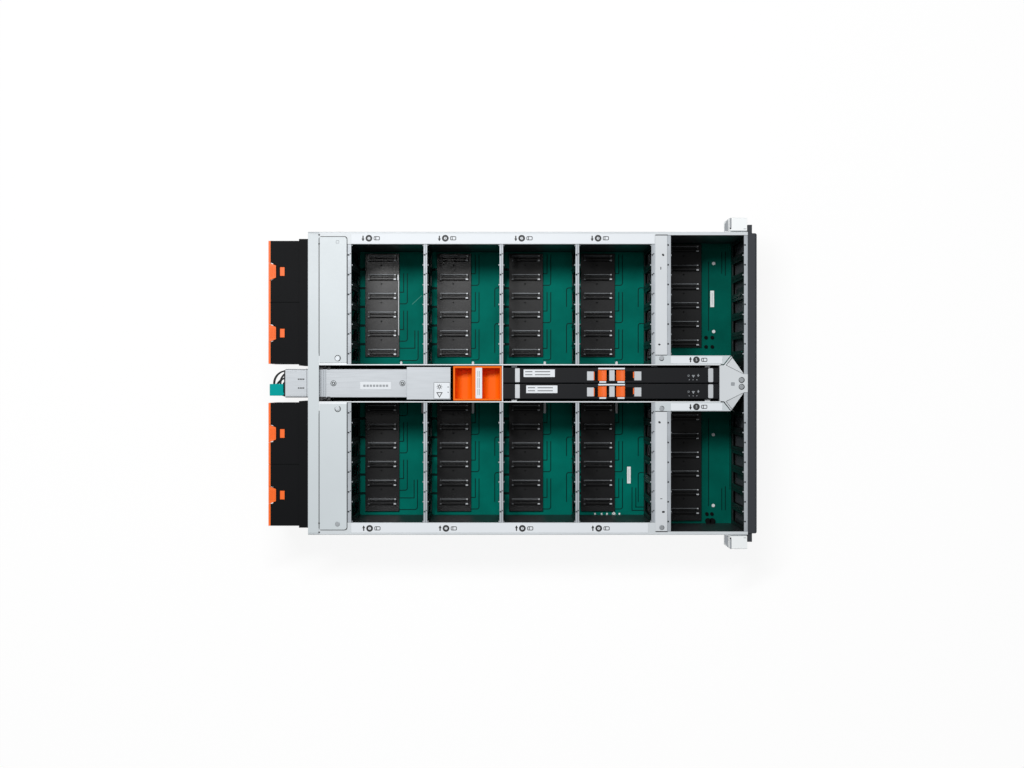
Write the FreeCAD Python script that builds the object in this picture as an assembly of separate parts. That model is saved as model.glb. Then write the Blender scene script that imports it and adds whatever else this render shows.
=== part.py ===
import FreeCAD, Part
import os

# Four-unit top-loading disk shelf, millimetres.
# X runs along the depth towards the front bezel, Y across the width, Z up.
# The origin is the centre of the bounding box at the bottom of the base pan.

# Drive carriers that the bays are made for
drive_width = 101.6
drive_thickness = 26.1
drives_per_side = 6
drive_gap = 2.7
drive_side_clearance = 1.85

# Chassis shell
chassis_width = 441.4
chassis_height = 174.0
sheet = 1.5
rear_rows = 4
wall_thickness = 5.4
wall_skin = 1.0
wall_window_width = 18.0
pan_rib_foot = 11.0
pan_rib_crown = 6.0
pan_rib_margin = 14.0
board_margin = 3.0
row_end_clearance = 2.25
rim_clearance = 2.6
front_hem = 4.9
partition_gap = 17.4
front_row_slack = 0.95
plenum_length = 44.3
rear_flange_depth = 15.9
channel_wall_y = 27.0
front_row_shift = 14.4
front_rail_width = 13.8
rail_past_modules = 16.4
rail_end_slant = 10.2
apex_neck = 13.2
ear_reach = 20.6
ear_hole_inset = 8.75

# Heights inside the chassis
pan_rib_height = 4.5
board_thickness = 2.4
socket_base_height = 5.0
socket_height = 6.6

# Drive sockets
socket_length = 44.0
socket_width = 9.6
socket_from_wall = 37.0
socket_from_drive = 5.4
socket_base_length = 52.3
strip_end_margin = 2.6

# Fan modules
fan_depth_outside = 58.1
fan_depth_inside = 46.0
fan_side_margin = 11.4
fan_channel_gap = 0.75
fan_module_height = 90.8
fan_module_gap = 0.4
fan_top_margin = 4.6
fan_bore_radius = 40.5
fan_face_thickness = 3.0
fan_frame_wall = 2.2
fan_frame_depth = 13.3
fan_hub_radius = 17.0
fan_blade_count = 7
fan_tip_clearance = 2.0
fan_rotor_length = 30.0
blade_chord = 27.0
blade_camber = 3.2
blade_thickness = 1.4
blade_angle = 38.0
latch_travel = 2.5
latch_clearance = 0.4

# Power supplies and their cage
psu_width = 38.8
cage_top_drop = 13.4
psu_length = 178.0
psu_clearance = 0.45
cage_sheet = 1.0
cage_behind_frame = 34.6
cage_corner = 2.5
psu_rear_thickness = 2.0
psu_cover_length = 118.9
psu_cover_width = 40.8
psu_cover_sheet = 1.2
handle_radius = 20.0
grip_bottom = 33.0
pad_below_top = 21.5
pad_height = 18.0
pad_pin_radius = 1.6
handle_band = 1.7
handle_height = 14.0
thumb_pad_width = 17.3
thumb_pad_length = 19.9

# Modules in the centre channel
board_cover_length = 63.7
board_cover_width = 47.1
lift_handle_length = 70.6
lift_handle_width = 50.0
lift_handle_wall = 2.6
lift_rib_thickness = 15.0
scoop_depth = 38.0
io_length = 314.6
io_width = 22.2
io_gap = 1.2
io_top_drop = 3.2
io_pocket_length = 40.2
io_pocket_from_rear = 137.7
io_pocket_width = 17.0
io_pocket_depth = 22.0
io_pad_length = 12.6
io_bridge_length = 9.2
io_bridge_thickness = 2.4
body_clearance = 0.4

# Front bezel and rack ears
bezel_depth = 13.2
bezel_step = 6.3
bezel_width = 437.0
bezel_tab_reach = 10.3
ear_box_length = 24.8
ear_box_height = 81.0
ear_flange_thickness = 3.0
ear_flange_setback = 10.6
rack_hole_radius = 3.6
rack_hole_low = 22.2
rack_hole_pitch = 44.45
rail_hole_radius = 2.3
rail_hole_pitch = 400.0
rail_hole_rise = 40.0
rail_hole_low = 60.0

# Port panels
port_width = 24.0
port_height = 10.4
port_depth = 38.0
ports_per_side = 3
port_pitch = 50.0

# Screws of the top covers
screw_radius = 1.5
screw_head_radius = 3.4
screw_head_height = 1.2
screw_length = 5.0

# Positions along the width
half_width = chassis_width / 2
rack_span = chassis_width + 2 * ear_reach
rack_hole_span = rack_span - 2 * ear_hole_inset
side_inner_y = half_width - sheet
board_half = side_inner_y - board_margin
channel_outer_y = channel_wall_y + sheet / 2
channel_inner_y = channel_wall_y - sheet / 2
drive_pitch = drive_thickness + drive_gap
first_drive_y = channel_outer_y + row_end_clearance + drive_thickness / 2
last_drive_y = first_drive_y + (drives_per_side - 1) * drive_pitch
rim_inner_y = last_drive_y + drive_thickness / 2 + rim_clearance
front_rail_y = channel_wall_y + front_rail_width - 0.3
front_hem_y = half_width - front_hem

# Positions along the depth
row_pitch = drive_width + 2 * drive_side_clearance + wall_thickness
front_row_pitch = row_pitch + front_row_slack + 0.35
behind_first_wall = plenum_length + rear_flange_depth + fan_depth_outside
partition_step = partition_gap + wall_thickness
ahead_of_first_wall = (
    rear_rows * row_pitch
    + partition_step
    + front_row_pitch
    + wall_thickness / 2
    + bezel_depth
)
first_wall_x = (behind_first_wall - ahead_of_first_wall) / 2
wall_x = [first_wall_x + i * row_pitch for i in range(rear_rows + 1)]
row5_wall_x = wall_x[-1] + partition_step
front_wall_x = row5_wall_x + front_row_pitch
frame_front_x = first_wall_x - plenum_length
frame_rear_x = frame_front_x - rear_flange_depth
chassis_front_x = front_wall_x + wall_thickness / 2
fan_rear_x = frame_rear_x - fan_depth_outside
bezel_front_x = chassis_front_x + bezel_depth

# Positions along the height
board_bottom = sheet + pan_rib_height
board_top = board_bottom + board_thickness
socket_base_top = board_top + socket_base_height
socket_top = socket_base_top + socket_height
wall_top = chassis_height - sheet
channel_floor = board_top + body_clearance
cage_top = chassis_height - cage_top_drop
psu_height = (cage_top - channel_floor - 3 * cage_sheet - 4 * psu_clearance) / 2


def vec(x, y, z):
    return FreeCAD.Vector(x, y, z)


def box(x0, x1, y0, y1, z0, z1):
    """Block between two corners."""
    return Part.makeBox(x1 - x0, y1 - y0, z1 - z0, vec(x0, y0, z0))


def side_box(x0, x1, y0, y1, z0, z1, side):
    """Block given for the left side, on the side asked for."""
    if side > 0:
        return box(x0, x1, y0, y1, z0, z1)
    return box(x0, x1, -y1, -y0, z0, z1)


def face_of(points):
    """Flat face bounded by straight runs through the points."""
    return Part.Face(Part.makePolygon(points + [points[0]]))


def prism_x(outline, x0, x1):
    """Outline of (y, z) points drawn out along X."""
    return face_of([vec(x0, y, z) for y, z in outline]).extrude(vec(x1 - x0, 0, 0))


def prism_y(outline, y0, y1):
    """Outline of (x, z) points drawn out along Y."""
    return face_of([vec(x, y0, z) for x, z in outline]).extrude(vec(0, y1 - y0, 0))


def prism_z(outline, z0, z1):
    """Outline of (x, y) points drawn out along Z."""
    return face_of([vec(x, y, z0) for x, y in outline]).extrude(vec(0, 0, z1 - z0))


def rod(radius, length, base, axis):
    return Part.makeCylinder(radius, length, base, axis)


def other_side(shape):
    """The mirror image across the centre plane."""
    return shape.mirror(vec(0, 0, 0), vec(0, 1, 0))


def fused(shapes):
    """One solid of touching shapes, with flush faces joined."""
    return shapes[0].multiFuse(shapes[1:]).removeSplitter()


def group(shapes):
    """Separate solids kept in one node."""
    return Part.makeCompound(shapes)


def write(name, shape):
    shape.exportStep("parts/" + name + ".step")


# Screw places as (x, y), on the plate that each group holds
rear_cover_sheet = 1.2
rear_cover_x0 = frame_front_x + 1.0
rear_cover_x1 = wall_x[0] - wall_thickness / 2 - 1.0
rear_cover_y0 = channel_outer_y + 2.3
rear_cover_y1 = rim_inner_y + 10.4
cover_screw_x = rear_cover_x0 + 26.1
cover_screw_inner_y = rear_cover_y0 + 6.0
cover_screw_outer_y = rear_cover_y1 - 8.5
screw_hole_radius = screw_radius + 0.3
rail_screw_x = wall_x[-1] + wall_thickness / 2 + 9.2
rail_screw_y = (channel_outer_y + front_rail_y) / 2 + 2.8
partition_screw_y = front_hem_y - 6.0

rear_cover_screws = [
    (cover_screw_x, cover_screw_inner_y),
    (cover_screw_x, -cover_screw_inner_y),
    (cover_screw_x, -cover_screw_outer_y),
]
rail_screws = [(rail_screw_x, rail_screw_y), (rail_screw_x, -rail_screw_y)]
partition_screws = [(rail_screw_x, -partition_screw_y)]

# Centre channel, from the rear
cage_rear_x = frame_rear_x - cage_behind_frame
cage_front_x = cage_rear_x + psu_length
cage_half = psu_width / 2 + psu_clearance + cage_sheet
psu_floor = [channel_floor + cage_sheet + psu_clearance]
psu_floor.append(psu_floor[0] + psu_height + 2 * psu_clearance + cage_sheet)
psu_cover_x1 = cage_front_x
psu_cover_x0 = psu_cover_x1 - psu_cover_length
psu_cover_screws = [(psu_cover_x0 + 11.5, 0), (psu_cover_x1 - 6.5, 0)]
board_cover_x0 = cage_front_x + body_clearance
board_cover_x1 = board_cover_x0 + board_cover_length
board_cover_top = chassis_height - 2.0
lift_x0 = board_cover_x1 + 4.0
lift_x1 = lift_x0 + lift_handle_length
cross_x0 = lift_x1 + body_clearance
cross_x1 = cross_x0 + sheet
io_x0 = cross_x1 + body_clearance
io_x1 = io_x0 + io_length
io_top = chassis_height - io_top_drop
io_centre_y = [(io_gap + io_width) / 2, -(io_gap + io_width) / 2]
channel_end_x0 = io_x1 + body_clearance
channel_end_x1 = channel_end_x0 + sheet
rail_end_x = io_x1 + rail_past_modules
apex_screw_x = front_wall_x - 6.6
apex_screws = [(apex_screw_x, 4.9), (apex_screw_x, -4.9)]


def punched(shape, places, z0, z1):
    """Screw holes through a plate between two heights."""
    holes = [rod(screw_hole_radius, z1 - z0, vec(x, y, z0), vec(0, 0, 1)) for x, y in places]
    return shape.cut(holes)


def base_pan():
    """Folded floor with turned-up edges, and a hollow pressed rib under each bay wall."""
    floor = box(frame_rear_x, chassis_front_x, -side_inner_y, side_inner_y, 0, sheet)
    lips = [
        side_box(frame_rear_x, chassis_front_x, side_inner_y - sheet, side_inner_y, sheet, board_top, side)
        for side in (1, -1)
    ]
    rib_y = side_inner_y - pan_rib_margin
    foot = pan_rib_foot
    crown = pan_rib_crown
    pan = [floor] + lips
    grooves = []
    for x in wall_x + [row5_wall_x + 10.0, front_wall_x - 12.0]:
        rib = [(x - foot, sheet), (x - crown, board_bottom), (x + crown, board_bottom), (x + foot, sheet)]
        groove = [
            (x - foot + 0.6, 0),
            (x - crown + 0.8, board_bottom - sheet),
            (x + crown - 0.8, board_bottom - sheet),
            (x + foot - 0.6, 0),
        ]
        pan.append(prism_y(rib, -rib_y, rib_y))
        grooves.append(prism_y(groove, -rib_y + sheet, rib_y - sheet))
    return fused(pan).cut(grooves)


def side_wall(side):
    """Side sheet with its top folded inwards and down again: a box section beside the rear rows,
    and a narrow hem beside the front row."""
    rim_end = wall_x[-1] + wall_thickness / 2
    wall = side_box(frame_rear_x, chassis_front_x, side_inner_y, half_width, 0, chassis_height, side)
    rim = side_box(frame_front_x, rim_end, rim_inner_y, side_inner_y, wall_top, chassis_height, side)
    hem = side_box(rim_end, chassis_front_x, front_hem_y, side_inner_y, wall_top, chassis_height, side)
    leg_x0 = wall_x[0] - wall_thickness / 2
    rim_leg = side_box(leg_x0, rim_end, rim_inner_y, rim_inner_y + sheet, board_top, wall_top, side)
    hem_leg = side_box(rim_end + sheet, chassis_front_x, front_hem_y, front_hem_y + sheet, board_top, wall_top, side)
    shape = fused([wall, rim, hem, rim_leg, hem_leg])
    bend = [
        e
        for e in shape.Edges
        if abs(abs(e.CenterOfMass.y) - half_width) < 0.01 and abs(e.CenterOfMass.z - chassis_height) < 0.01
    ]
    shape = shape.makeFillet(sheet * 0.8, bend)
    holes = []
    for x in (-rail_hole_pitch / 2, rail_hole_pitch / 2):
        for z in (rail_hole_low, rail_hole_low + rail_hole_rise):
            holes.append(rod(rail_hole_radius, sheet + 1, vec(x, side * (side_inner_y - 0.5), z), vec(0, side, 0)))
    shape = shape.cut(holes)
    places = [p for p in rear_cover_screws if p[1] * side > rim_inner_y]
    if places:
        shape = punched(shape, places, wall_top, chassis_height)
    return shape


# Fan modules and the frame that they slide into
fan_inner_y = channel_outer_y + fan_channel_gap
fan_module_width = (side_inner_y - fan_side_margin - fan_inner_y - fan_module_gap) / 2
fan_top = chassis_height - fan_top_margin
fan_bottom = fan_top - fan_module_height
fan_centre_z = (fan_top + fan_bottom) / 2
fan_pitch = fan_module_width + fan_module_gap
fan_outer_y = fan_inner_y + fan_module_width + fan_pitch
fan_centres = [
    fan_inner_y + fan_module_width / 2 + fan_pitch,
    fan_inner_y + fan_module_width / 2,
    -fan_inner_y - fan_module_width / 2,
    -fan_inner_y - fan_module_width / 2 - fan_pitch,
]
fan_housing_rear_x = fan_rear_x + fan_face_thickness
fan_front_x = frame_rear_x + fan_depth_inside


def fan_window(x0, x1, wall, side):
    """Opening for a pair of fan modules, grown by a wall thickness."""
    y0 = fan_inner_y - body_clearance - wall
    y1 = fan_outer_y + body_clearance + wall
    z0 = fan_bottom - body_clearance - wall
    z1 = fan_top + body_clearance + wall
    return side_box(x0, x1, y0, y1, z0, z1, side)


def rear_frame():
    """Channel-shaped rear panel with windows for the fans, the power supplies and the ports."""
    x0 = frame_rear_x
    x1 = frame_front_x
    lip_bottom = fan_top + body_clearance
    profile = [
        (x0, sheet),
        (x0, chassis_height),
        (x1, chassis_height),
        (x1, lip_bottom),
        (x1 - sheet, lip_bottom),
        (x1 - sheet, wall_top),
        (x0 + sheet, wall_top),
        (x0 + sheet, 2 * sheet),
        (x1 - sheet, 2 * sheet),
        (x1 - sheet, sheet),
    ]
    half = side_inner_y - sheet
    shape = prism_y(profile, -half, half)
    cuts = [box(x0 - 1, x0 + sheet + 1, -cage_half - 0.4, cage_half + 0.4, board_top, cage_top + 0.4)]
    for side in (1, -1):
        cuts.append(fan_window(x0 - 1, x0 + sheet + 1, 0, side))
        cuts.append(side_box(x0 - 1, x0 + sheet + 1, port_y0 + 6, port_y1 - 6, port_z0 + 6, port_z1 - 6, side))
    return shape.cut(cuts)


def bay_wall(x, y0, y1, front_ribs, rear_ribs, first_y):
    """Folded double sheet between two rows, open at the bottom, with a tall window, a latch slot
    and a guide rib on each face for every drive."""
    half = wall_thickness / 2
    rib = drive_side_clearance - 0.35
    inside = half - wall_skin
    outer = box(x - half, x + half, y0, y1, board_top, wall_top)
    hollow = box(x - inside, x + inside, y0 - 1, y1 + 1, board_top - 1, wall_top - wall_skin)
    windows = []
    ribs = []
    for i in range(drives_per_side):
        y = first_y + i * drive_pitch
        y0w = y - wall_window_width / 2
        y1w = y + wall_window_width / 2
        windows.append(box(x - half - 3, x + half + 3, y0w, y1w, socket_top + 10, wall_top - 14))
    for i in range(drives_per_side + 1):
        y = first_y + (i - 0.5) * drive_pitch
        if y0 + 1 < y < y1 - 1:
            if front_ribs:
                ribs.append(box(x + half, x + half + rib, y - 0.9, y + 0.9, socket_top + 4, wall_top - 4))
            if rear_ribs:
                ribs.append(box(x - half - rib, x - half, y - 0.9, y + 0.9, socket_top + 4, wall_top - 4))
    latch_slots = []
    for i in range(drives_per_side):
        y = first_y + i * drive_pitch
        latch_slots.append(box(x - 2.3, x - 0.1, y - 1.1, y + 1.1, wall_top - 2 * wall_skin, wall_top + 1))
    return outer.cut([hollow]).multiFuse(ribs).removeSplitter().cut(windows + latch_slots)


def wall_pair(x, y0, y1, first_y, front_ribs=True, rear_ribs=True):
    """The same bay wall on the left and on the right of the channel."""
    left = bay_wall(x, y0, y1, front_ribs, rear_ribs, first_y)
    return group([left, other_side(left)])


def channel_wall(side):
    """Long upright beside the centre channel, with a flange for the rear cover and guides for the
    two modules."""
    y0 = channel_inner_y
    y1 = channel_outer_y
    parts = [side_box(frame_front_x, channel_end_x1, y0, y1, board_top, chassis_height, side)]
    flange_y = cover_screw_inner_y + 4.0
    parts.append(side_box(frame_front_x, rear_cover_x1, y1, flange_y, wall_top, chassis_height, side))
    guide = y0 - (io_gap / 2 + io_width) - body_clearance
    for x in (io_x0 + 12, io_x1 - 20):
        parts.append(side_box(x, x + 8, y0 - guide, y0, board_top, io_top - 8, side))
    shape = fused(parts)
    return punched(shape, [p for p in rear_cover_screws if abs(p[1]) < flange_y and p[1] * side > 0],
                   wall_top, chassis_height)


def baseboard_rear():
    """Main board under the rear rows and the centre channel, with the upright power board on it."""
    board = box(frame_front_x + 2, wall_x[-1] + wall_thickness / 2, -board_half, board_half, board_bottom, board_top)
    x = cage_front_x + 3.0
    riser = box(x, x + board_thickness, -19.0, 19.0, board_top, cage_top - 4.0)
    return group([board, riser])


def baseboard_front():
    """Separate board under the front row."""
    x0 = row5_wall_x - wall_thickness / 2
    return box(x0, chassis_front_x - 1.0, -board_half, board_half, board_bottom, board_top)


def drive_socket(x, y):
    """Moulded drive connector: an L-shaped shroud with a tongue slot and a locating post at each end."""
    half = socket_length / 2
    z0 = socket_base_top
    shroud = box(x - half, x + half, y - socket_width / 2, y + socket_width / 2, z0, socket_top - 1.6)
    slot = box(x - half + 3, x + half - 3, y - 1.0, y + 2.6, z0 + 1.2, socket_top)
    posts = [
        box(x + end, x + end + 3.4, y - socket_width / 2, y + socket_width / 2 - 3, z0, socket_top)
        for end in (-half, half - 3.4)
    ]
    tongue = box(x - half + 5, x + half - 5, y + 0.2, y + 1.5, z0, socket_top - 2.0)
    return shroud.cut(slot).multiFuse(posts + [tongue])


def socket_row(left_wall_x, first_y):
    """Socket strips of one row, one each side of the channel, with the connectors moulded on."""
    x = left_wall_x + socket_from_wall
    strips = []
    for side in (1, -1):
        ys = [side * (first_y + i * drive_pitch) + socket_from_drive for i in range(drives_per_side)]
        y0 = min(ys) - socket_width / 2 - strip_end_margin
        y1 = max(ys) + socket_width / 2 + strip_end_margin
        base = box(x - socket_base_length / 2, x + socket_base_length / 2, y0, y1, board_top, socket_base_top)
        strips.append(fused([base] + [drive_socket(x, y) for y in ys]))
    return group(strips)


def rear_cover(side):
    """Flat lid over the fan plenum, with a rounded outer front corner and a turned-down front lip."""
    x0 = rear_cover_x0
    x1 = rear_cover_x1
    z0 = chassis_height
    plate = side_box(x0, x1, rear_cover_y0, rear_cover_y1, z0, z0 + rear_cover_sheet, side)
    corner = [
        e
        for e in plate.Edges
        if abs(e.CenterOfMass.x - x1) < 0.01 and abs(abs(e.CenterOfMass.y) - rear_cover_y1) < 0.01
        and abs(e.CenterOfMass.z - z0 - rear_cover_sheet / 2) < 0.01
    ]
    plate = plate.makeFillet(4.0, corner)
    lip = side_box(x1 - rear_cover_sheet, x1, channel_outer_y + 14.0, rim_inner_y - 1.0, z0 - 12.0, z0, side)
    shape = plate.fuse(lip).removeSplitter()
    return punched(shape, [p for p in rear_cover_screws if p[1] * side > 0], z0 - 1, z0 + 2)


def partition_plate(side):
    """Inverted channel that closes the gap between the fourth row and the front row."""
    x0 = wall_x[-1] + wall_thickness / 2
    x1 = row5_wall_x - wall_thickness / 2
    y0 = front_rail_y + 1.0
    y1 = front_hem_y - 0.5
    leg = wall_top - 20.0
    profile = [
        (x0, leg),
        (x0, chassis_height),
        (x1, chassis_height),
        (x1, leg),
        (x1 - sheet, leg),
        (x1 - sheet, wall_top),
        (x0 + sheet, wall_top),
        (x0 + sheet, leg),
    ]
    shape = prism_y(profile, y0, y1)
    holes = [
        rod(1.4, 4, vec(x0 + 11.2, y1 - 28.0, wall_top - 1), vec(0, 0, 1)),
        rod(1.4, 4, vec(x0 + 5.8, y0 + 15.0, wall_top - 1), vec(0, 0, 1)),
    ]
    shape = shape.cut(holes)
    if side < 0:
        shape = other_side(shape)
    return punched(shape, [p for p in partition_screws if p[1] * side > 0], wall_top - 1, chassis_height + 1)


def front_rail(side):
    """Angle beside the channel in the front row: label ledge on top, bay wall below."""
    x0 = wall_x[-1] + wall_thickness / 2
    x1 = rail_end_x
    ledge = [
        (x0, channel_outer_y),
        (x0, front_rail_y),
        (x1, front_rail_y),
        (x1 - rail_end_slant, channel_outer_y),
    ]
    top = prism_z(ledge, wall_top, chassis_height)
    upright = box(x0, x1, front_rail_y - sheet, front_rail_y, board_top, wall_top)
    shape = fused([top, upright])
    if side < 0:
        shape = other_side(shape)
    return punched(shape, [p for p in rail_screws if p[1] * side > 0], wall_top - 1, chassis_height + 1)


def apex_facet(side):
    """Bent corner of the apex plate that slopes down towards the row."""
    inner_rear = vec(rail_end_x - rail_end_slant + 0.5, side * channel_inner_y, chassis_height)
    inner_front = vec(front_wall_x - 2.8, side * apex_neck, chassis_height)
    tip = vec(rail_end_x + 1.2, side * (front_rail_y - 0.8), chassis_height - 3.0)
    face = Part.Face(Part.makePolygon([inner_rear, tip, inner_front, inner_rear]))
    return face.extrude(vec(0, 0, -sheet))


def front_apex():
    """Plate that closes the front end of the channel and reaches over the front wall."""
    z0 = wall_top
    z1 = chassis_height
    plate = prism_z(
        [
            (channel_end_x0, -channel_inner_y + 2),
            (channel_end_x0 + 2.0, -channel_inner_y),
            (rail_end_x - rail_end_slant + 0.5, -channel_inner_y),
            (front_wall_x - 2.8, -apex_neck),
            (chassis_front_x, -apex_neck),
            (chassis_front_x, apex_neck),
            (front_wall_x - 2.8, apex_neck),
            (rail_end_x - rail_end_slant + 0.5, channel_inner_y),
            (channel_end_x0 + 2.0, channel_inner_y),
            (channel_end_x0, channel_inner_y - 2),
        ],
        z0,
        z1,
    )
    end = box(channel_end_x0, channel_end_x1, -channel_inner_y, channel_inner_y, board_top, z0)
    shape = fused([plate, end, apex_facet(1), apex_facet(-1)])
    return punched(shape, apex_screws, z0 - 1, z1 + 1)


def psu_cage():
    """Sheet tube that holds the two power supplies one above the other, with a shelf between them."""
    z0 = channel_floor
    outer = box(cage_rear_x, cage_front_x, -cage_half, cage_half, z0, cage_top)
    long_top = [
        e
        for e in outer.Edges
        if abs(abs(e.CenterOfMass.y) - cage_half) < 0.01 and abs(e.CenterOfMass.z - cage_top) < 0.01
    ]
    outer = outer.makeFillet(cage_corner, long_top)
    inner = cage_half - cage_sheet
    bays = []
    for z in psu_floor:
        bay = box(cage_rear_x - 1, cage_front_x + 1, -inner, inner, z - psu_clearance, z + psu_height + psu_clearance)
        upper = [
            e
            for e in bay.Edges
            if abs(abs(e.CenterOfMass.y) - inner) < 0.01 and e.CenterOfMass.z > z + psu_height
        ]
        bays.append(bay.makeFillet(cage_corner - cage_sheet, upper))
    return punched(outer.cut(bays), psu_cover_screws, cage_top - 2, cage_top + 1)


def channel_covers():
    """Flat cover screwed on the cage, and the inverted tray over the power board."""
    z0 = cage_top
    half = psu_cover_width / 2
    flat = box(psu_cover_x0, psu_cover_x1, -half, half, z0, z0 + psu_cover_sheet)
    flat = punched(flat, psu_cover_screws, z0 - 1, z0 + 2)
    half = board_cover_width / 2
    t = psu_cover_sheet
    profile = [
        (-half, board_top),
        (-half, board_cover_top),
        (half, board_cover_top),
        (half, board_top),
        (half - t, board_top),
        (half - t, board_cover_top - t),
        (t - half, board_cover_top - t),
        (t - half, board_top),
    ]
    tray = prism_x(profile, board_cover_x0, board_cover_x1)
    return group([flat, tray])


def channel_cross_wall():
    """Upright sheet across the channel between the lift-out carrier and the modules."""
    return box(cross_x0, cross_x1, -channel_inner_y, channel_inner_y, board_top, chassis_height - 1.0)


def bezel():
    """Front cover with rows of air slots, a stepped edge and a tab at each upper side."""
    half = bezel_width / 2
    z0 = 1.0
    z1 = chassis_height + 0.6
    x0 = chassis_front_x
    x1 = x0 + bezel_step
    rear = box(x0, x1, -half, half, z0, z1)
    front = box(x1, bezel_front_x, -half, half, z0, z1)
    rim = [e for e in front.Edges if abs(e.CenterOfMass.x - bezel_front_x) < 0.01]
    front = front.makeFillet(3.0, rim)
    reach = half + bezel_tab_reach + 2.2
    tabs = [side_box(x0, x1, half, reach, chassis_height - 44, chassis_height - 2, side) for side in (1, -1)]
    slot_length = 62.0
    slots = []
    for column in range(6):
        y = (column - 2.5) * (slot_length + 8)
        for row in range(10):
            z = 22.0 + row * 14.0
            slots.append(box(x0 - 1, bezel_front_x + 1, y - slot_length / 2, y + slot_length / 2, z, z + 7))
    return fused([rear, front] + tabs).cut(slots)


def rack_ear(side):
    """Bracket on the chassis side: latch housing at the top, and the rack flange with its holes."""
    box_x1 = chassis_front_x - 1.0
    box_x0 = box_x1 - ear_box_length
    x0 = box_x0 + ear_flange_setback
    x1 = x0 + ear_flange_thickness
    y0 = half_width
    y1 = rack_span / 2
    z0 = 4.0
    z1 = chassis_height
    box_z0 = z1 - ear_box_height
    leg = box(box_x0, box_x1, y0, y0 + sheet, z0, z1 - 4)
    flange = box(x0, x1, y0, y1, z0, box_z0)
    housing = box(box_x0, box_x1, y0 + sheet, y1, box_z0, z1)
    top_edge = [e for e in housing.Edges if abs(e.CenterOfMass.y - y1) < 0.01 and abs(e.CenterOfMass.z - z1) < 0.01]
    housing = housing.makeFillet(1.5, top_edge)
    groove = box(box_x0 + 0.9, box_x0 + 2.0, y0 + 6, y1 + 1, z1 - 1.5, z1 + 1)
    shape = fused([leg, flange, housing.cut(groove)])
    hole_y = rack_hole_span / 2
    holes = [
        rod(rack_hole_radius, ear_flange_thickness + 2, vec(x0 - 1, hole_y, z), vec(1, 0, 0))
        for z in (rack_hole_low, rack_hole_low + rack_hole_pitch)
    ]
    shape = shape.cut(holes)
    return shape if side > 0 else other_side(shape)


# Port panels below the fans
port_y0 = 32.0
port_y1 = 206.0
port_z0 = 8.0
port_z1 = fan_bottom - body_clearance - fan_frame_wall - 1.0
port_centre_z = (port_z0 + port_z1) / 2


def port_panel(side):
    """Plate behind the rear frame with a row of shielded data ports."""
    x0 = frame_rear_x - sheet
    plate = box(x0, frame_rear_x, port_y0, port_y1, port_z0, port_z1)
    centre = (port_y0 + port_y1) / 2
    shields = []
    holes = []
    for i in range(ports_per_side):
        y = centre + (i - (ports_per_side - 1) / 2) * port_pitch
        y0 = y - port_width / 2
        y1 = y + port_width / 2
        z0 = port_centre_z - port_height / 2
        z1 = port_centre_z + port_height / 2
        shields.append(box(x0, x0 + port_depth, y0 - 1, y1 + 1, z0 - 1, z1 + 1))
        holes.append(box(x0 - 1, x0 + port_depth - 1, y0, y1, z0, z1))
    shape = fused([plate] + shields).cut(holes)
    return shape if side > 0 else other_side(shape)


def fan_bay_frame(side):
    """Moulded ring on the rear frame that guides a pair of fan modules."""
    x0 = frame_rear_x - fan_frame_depth
    return fan_window(x0, frame_rear_x, fan_frame_wall, side).cut(fan_window(x0 - 1, frame_rear_x + 1, 0, side))


def screw(x, y, seat, length):
    """Flat-headed screw seated on a plate."""
    head = rod(screw_head_radius, screw_head_height, vec(x, y, seat), vec(0, 0, 1))
    shank = rod(screw_radius, length, vec(x, y, seat - length), vec(0, 0, 1))
    return head.fuse(shank)


def cover_screws():
    """The visible screws of the top plates."""
    through_cage = psu_cover_sheet + cage_sheet
    seats = [(x, y, chassis_height + rear_cover_sheet, screw_length) for x, y in rear_cover_screws]
    seats += [(x, y, chassis_height, screw_length) for x, y in rail_screws + partition_screws + apex_screws]
    seats += [(x, y, cage_top + psu_cover_sheet, through_cage) for x, y in psu_cover_screws]
    return group([screw(x, y, z, length) for x, y, z, length in seats])


# Parts of one fan module, given by the centre of the module across the width
notch_half_outer = 13.4
notch_half_inner = 9.0
notch_depth = 11.0
button_x0 = fan_rear_x + 16.8
button_length = 6.6
button_half = 6.3
lever_top = fan_centre_z + fan_bore_radius - latch_clearance
lever_bottom = lever_top - 3.4
lever_slack = latch_travel + latch_clearance
motor_length = 24.0
strut_length = 6.0
rotor_gap = 0.5
rotor_x0 = fan_housing_rear_x + motor_length + rotor_gap
shaft_radius = 2.5


def notch(yc, grow, x0, z0, z1):
    """Trapezoid at the rear edge where the finger tab sits."""
    return prism_z(
        [
            (x0, yc - notch_half_outer - grow),
            (x0, yc + notch_half_outer + grow),
            (fan_rear_x + notch_depth + grow, yc + notch_half_inner + grow),
            (fan_rear_x + notch_depth + grow, yc - notch_half_inner - grow),
        ],
        z0,
        z1,
    )


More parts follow.
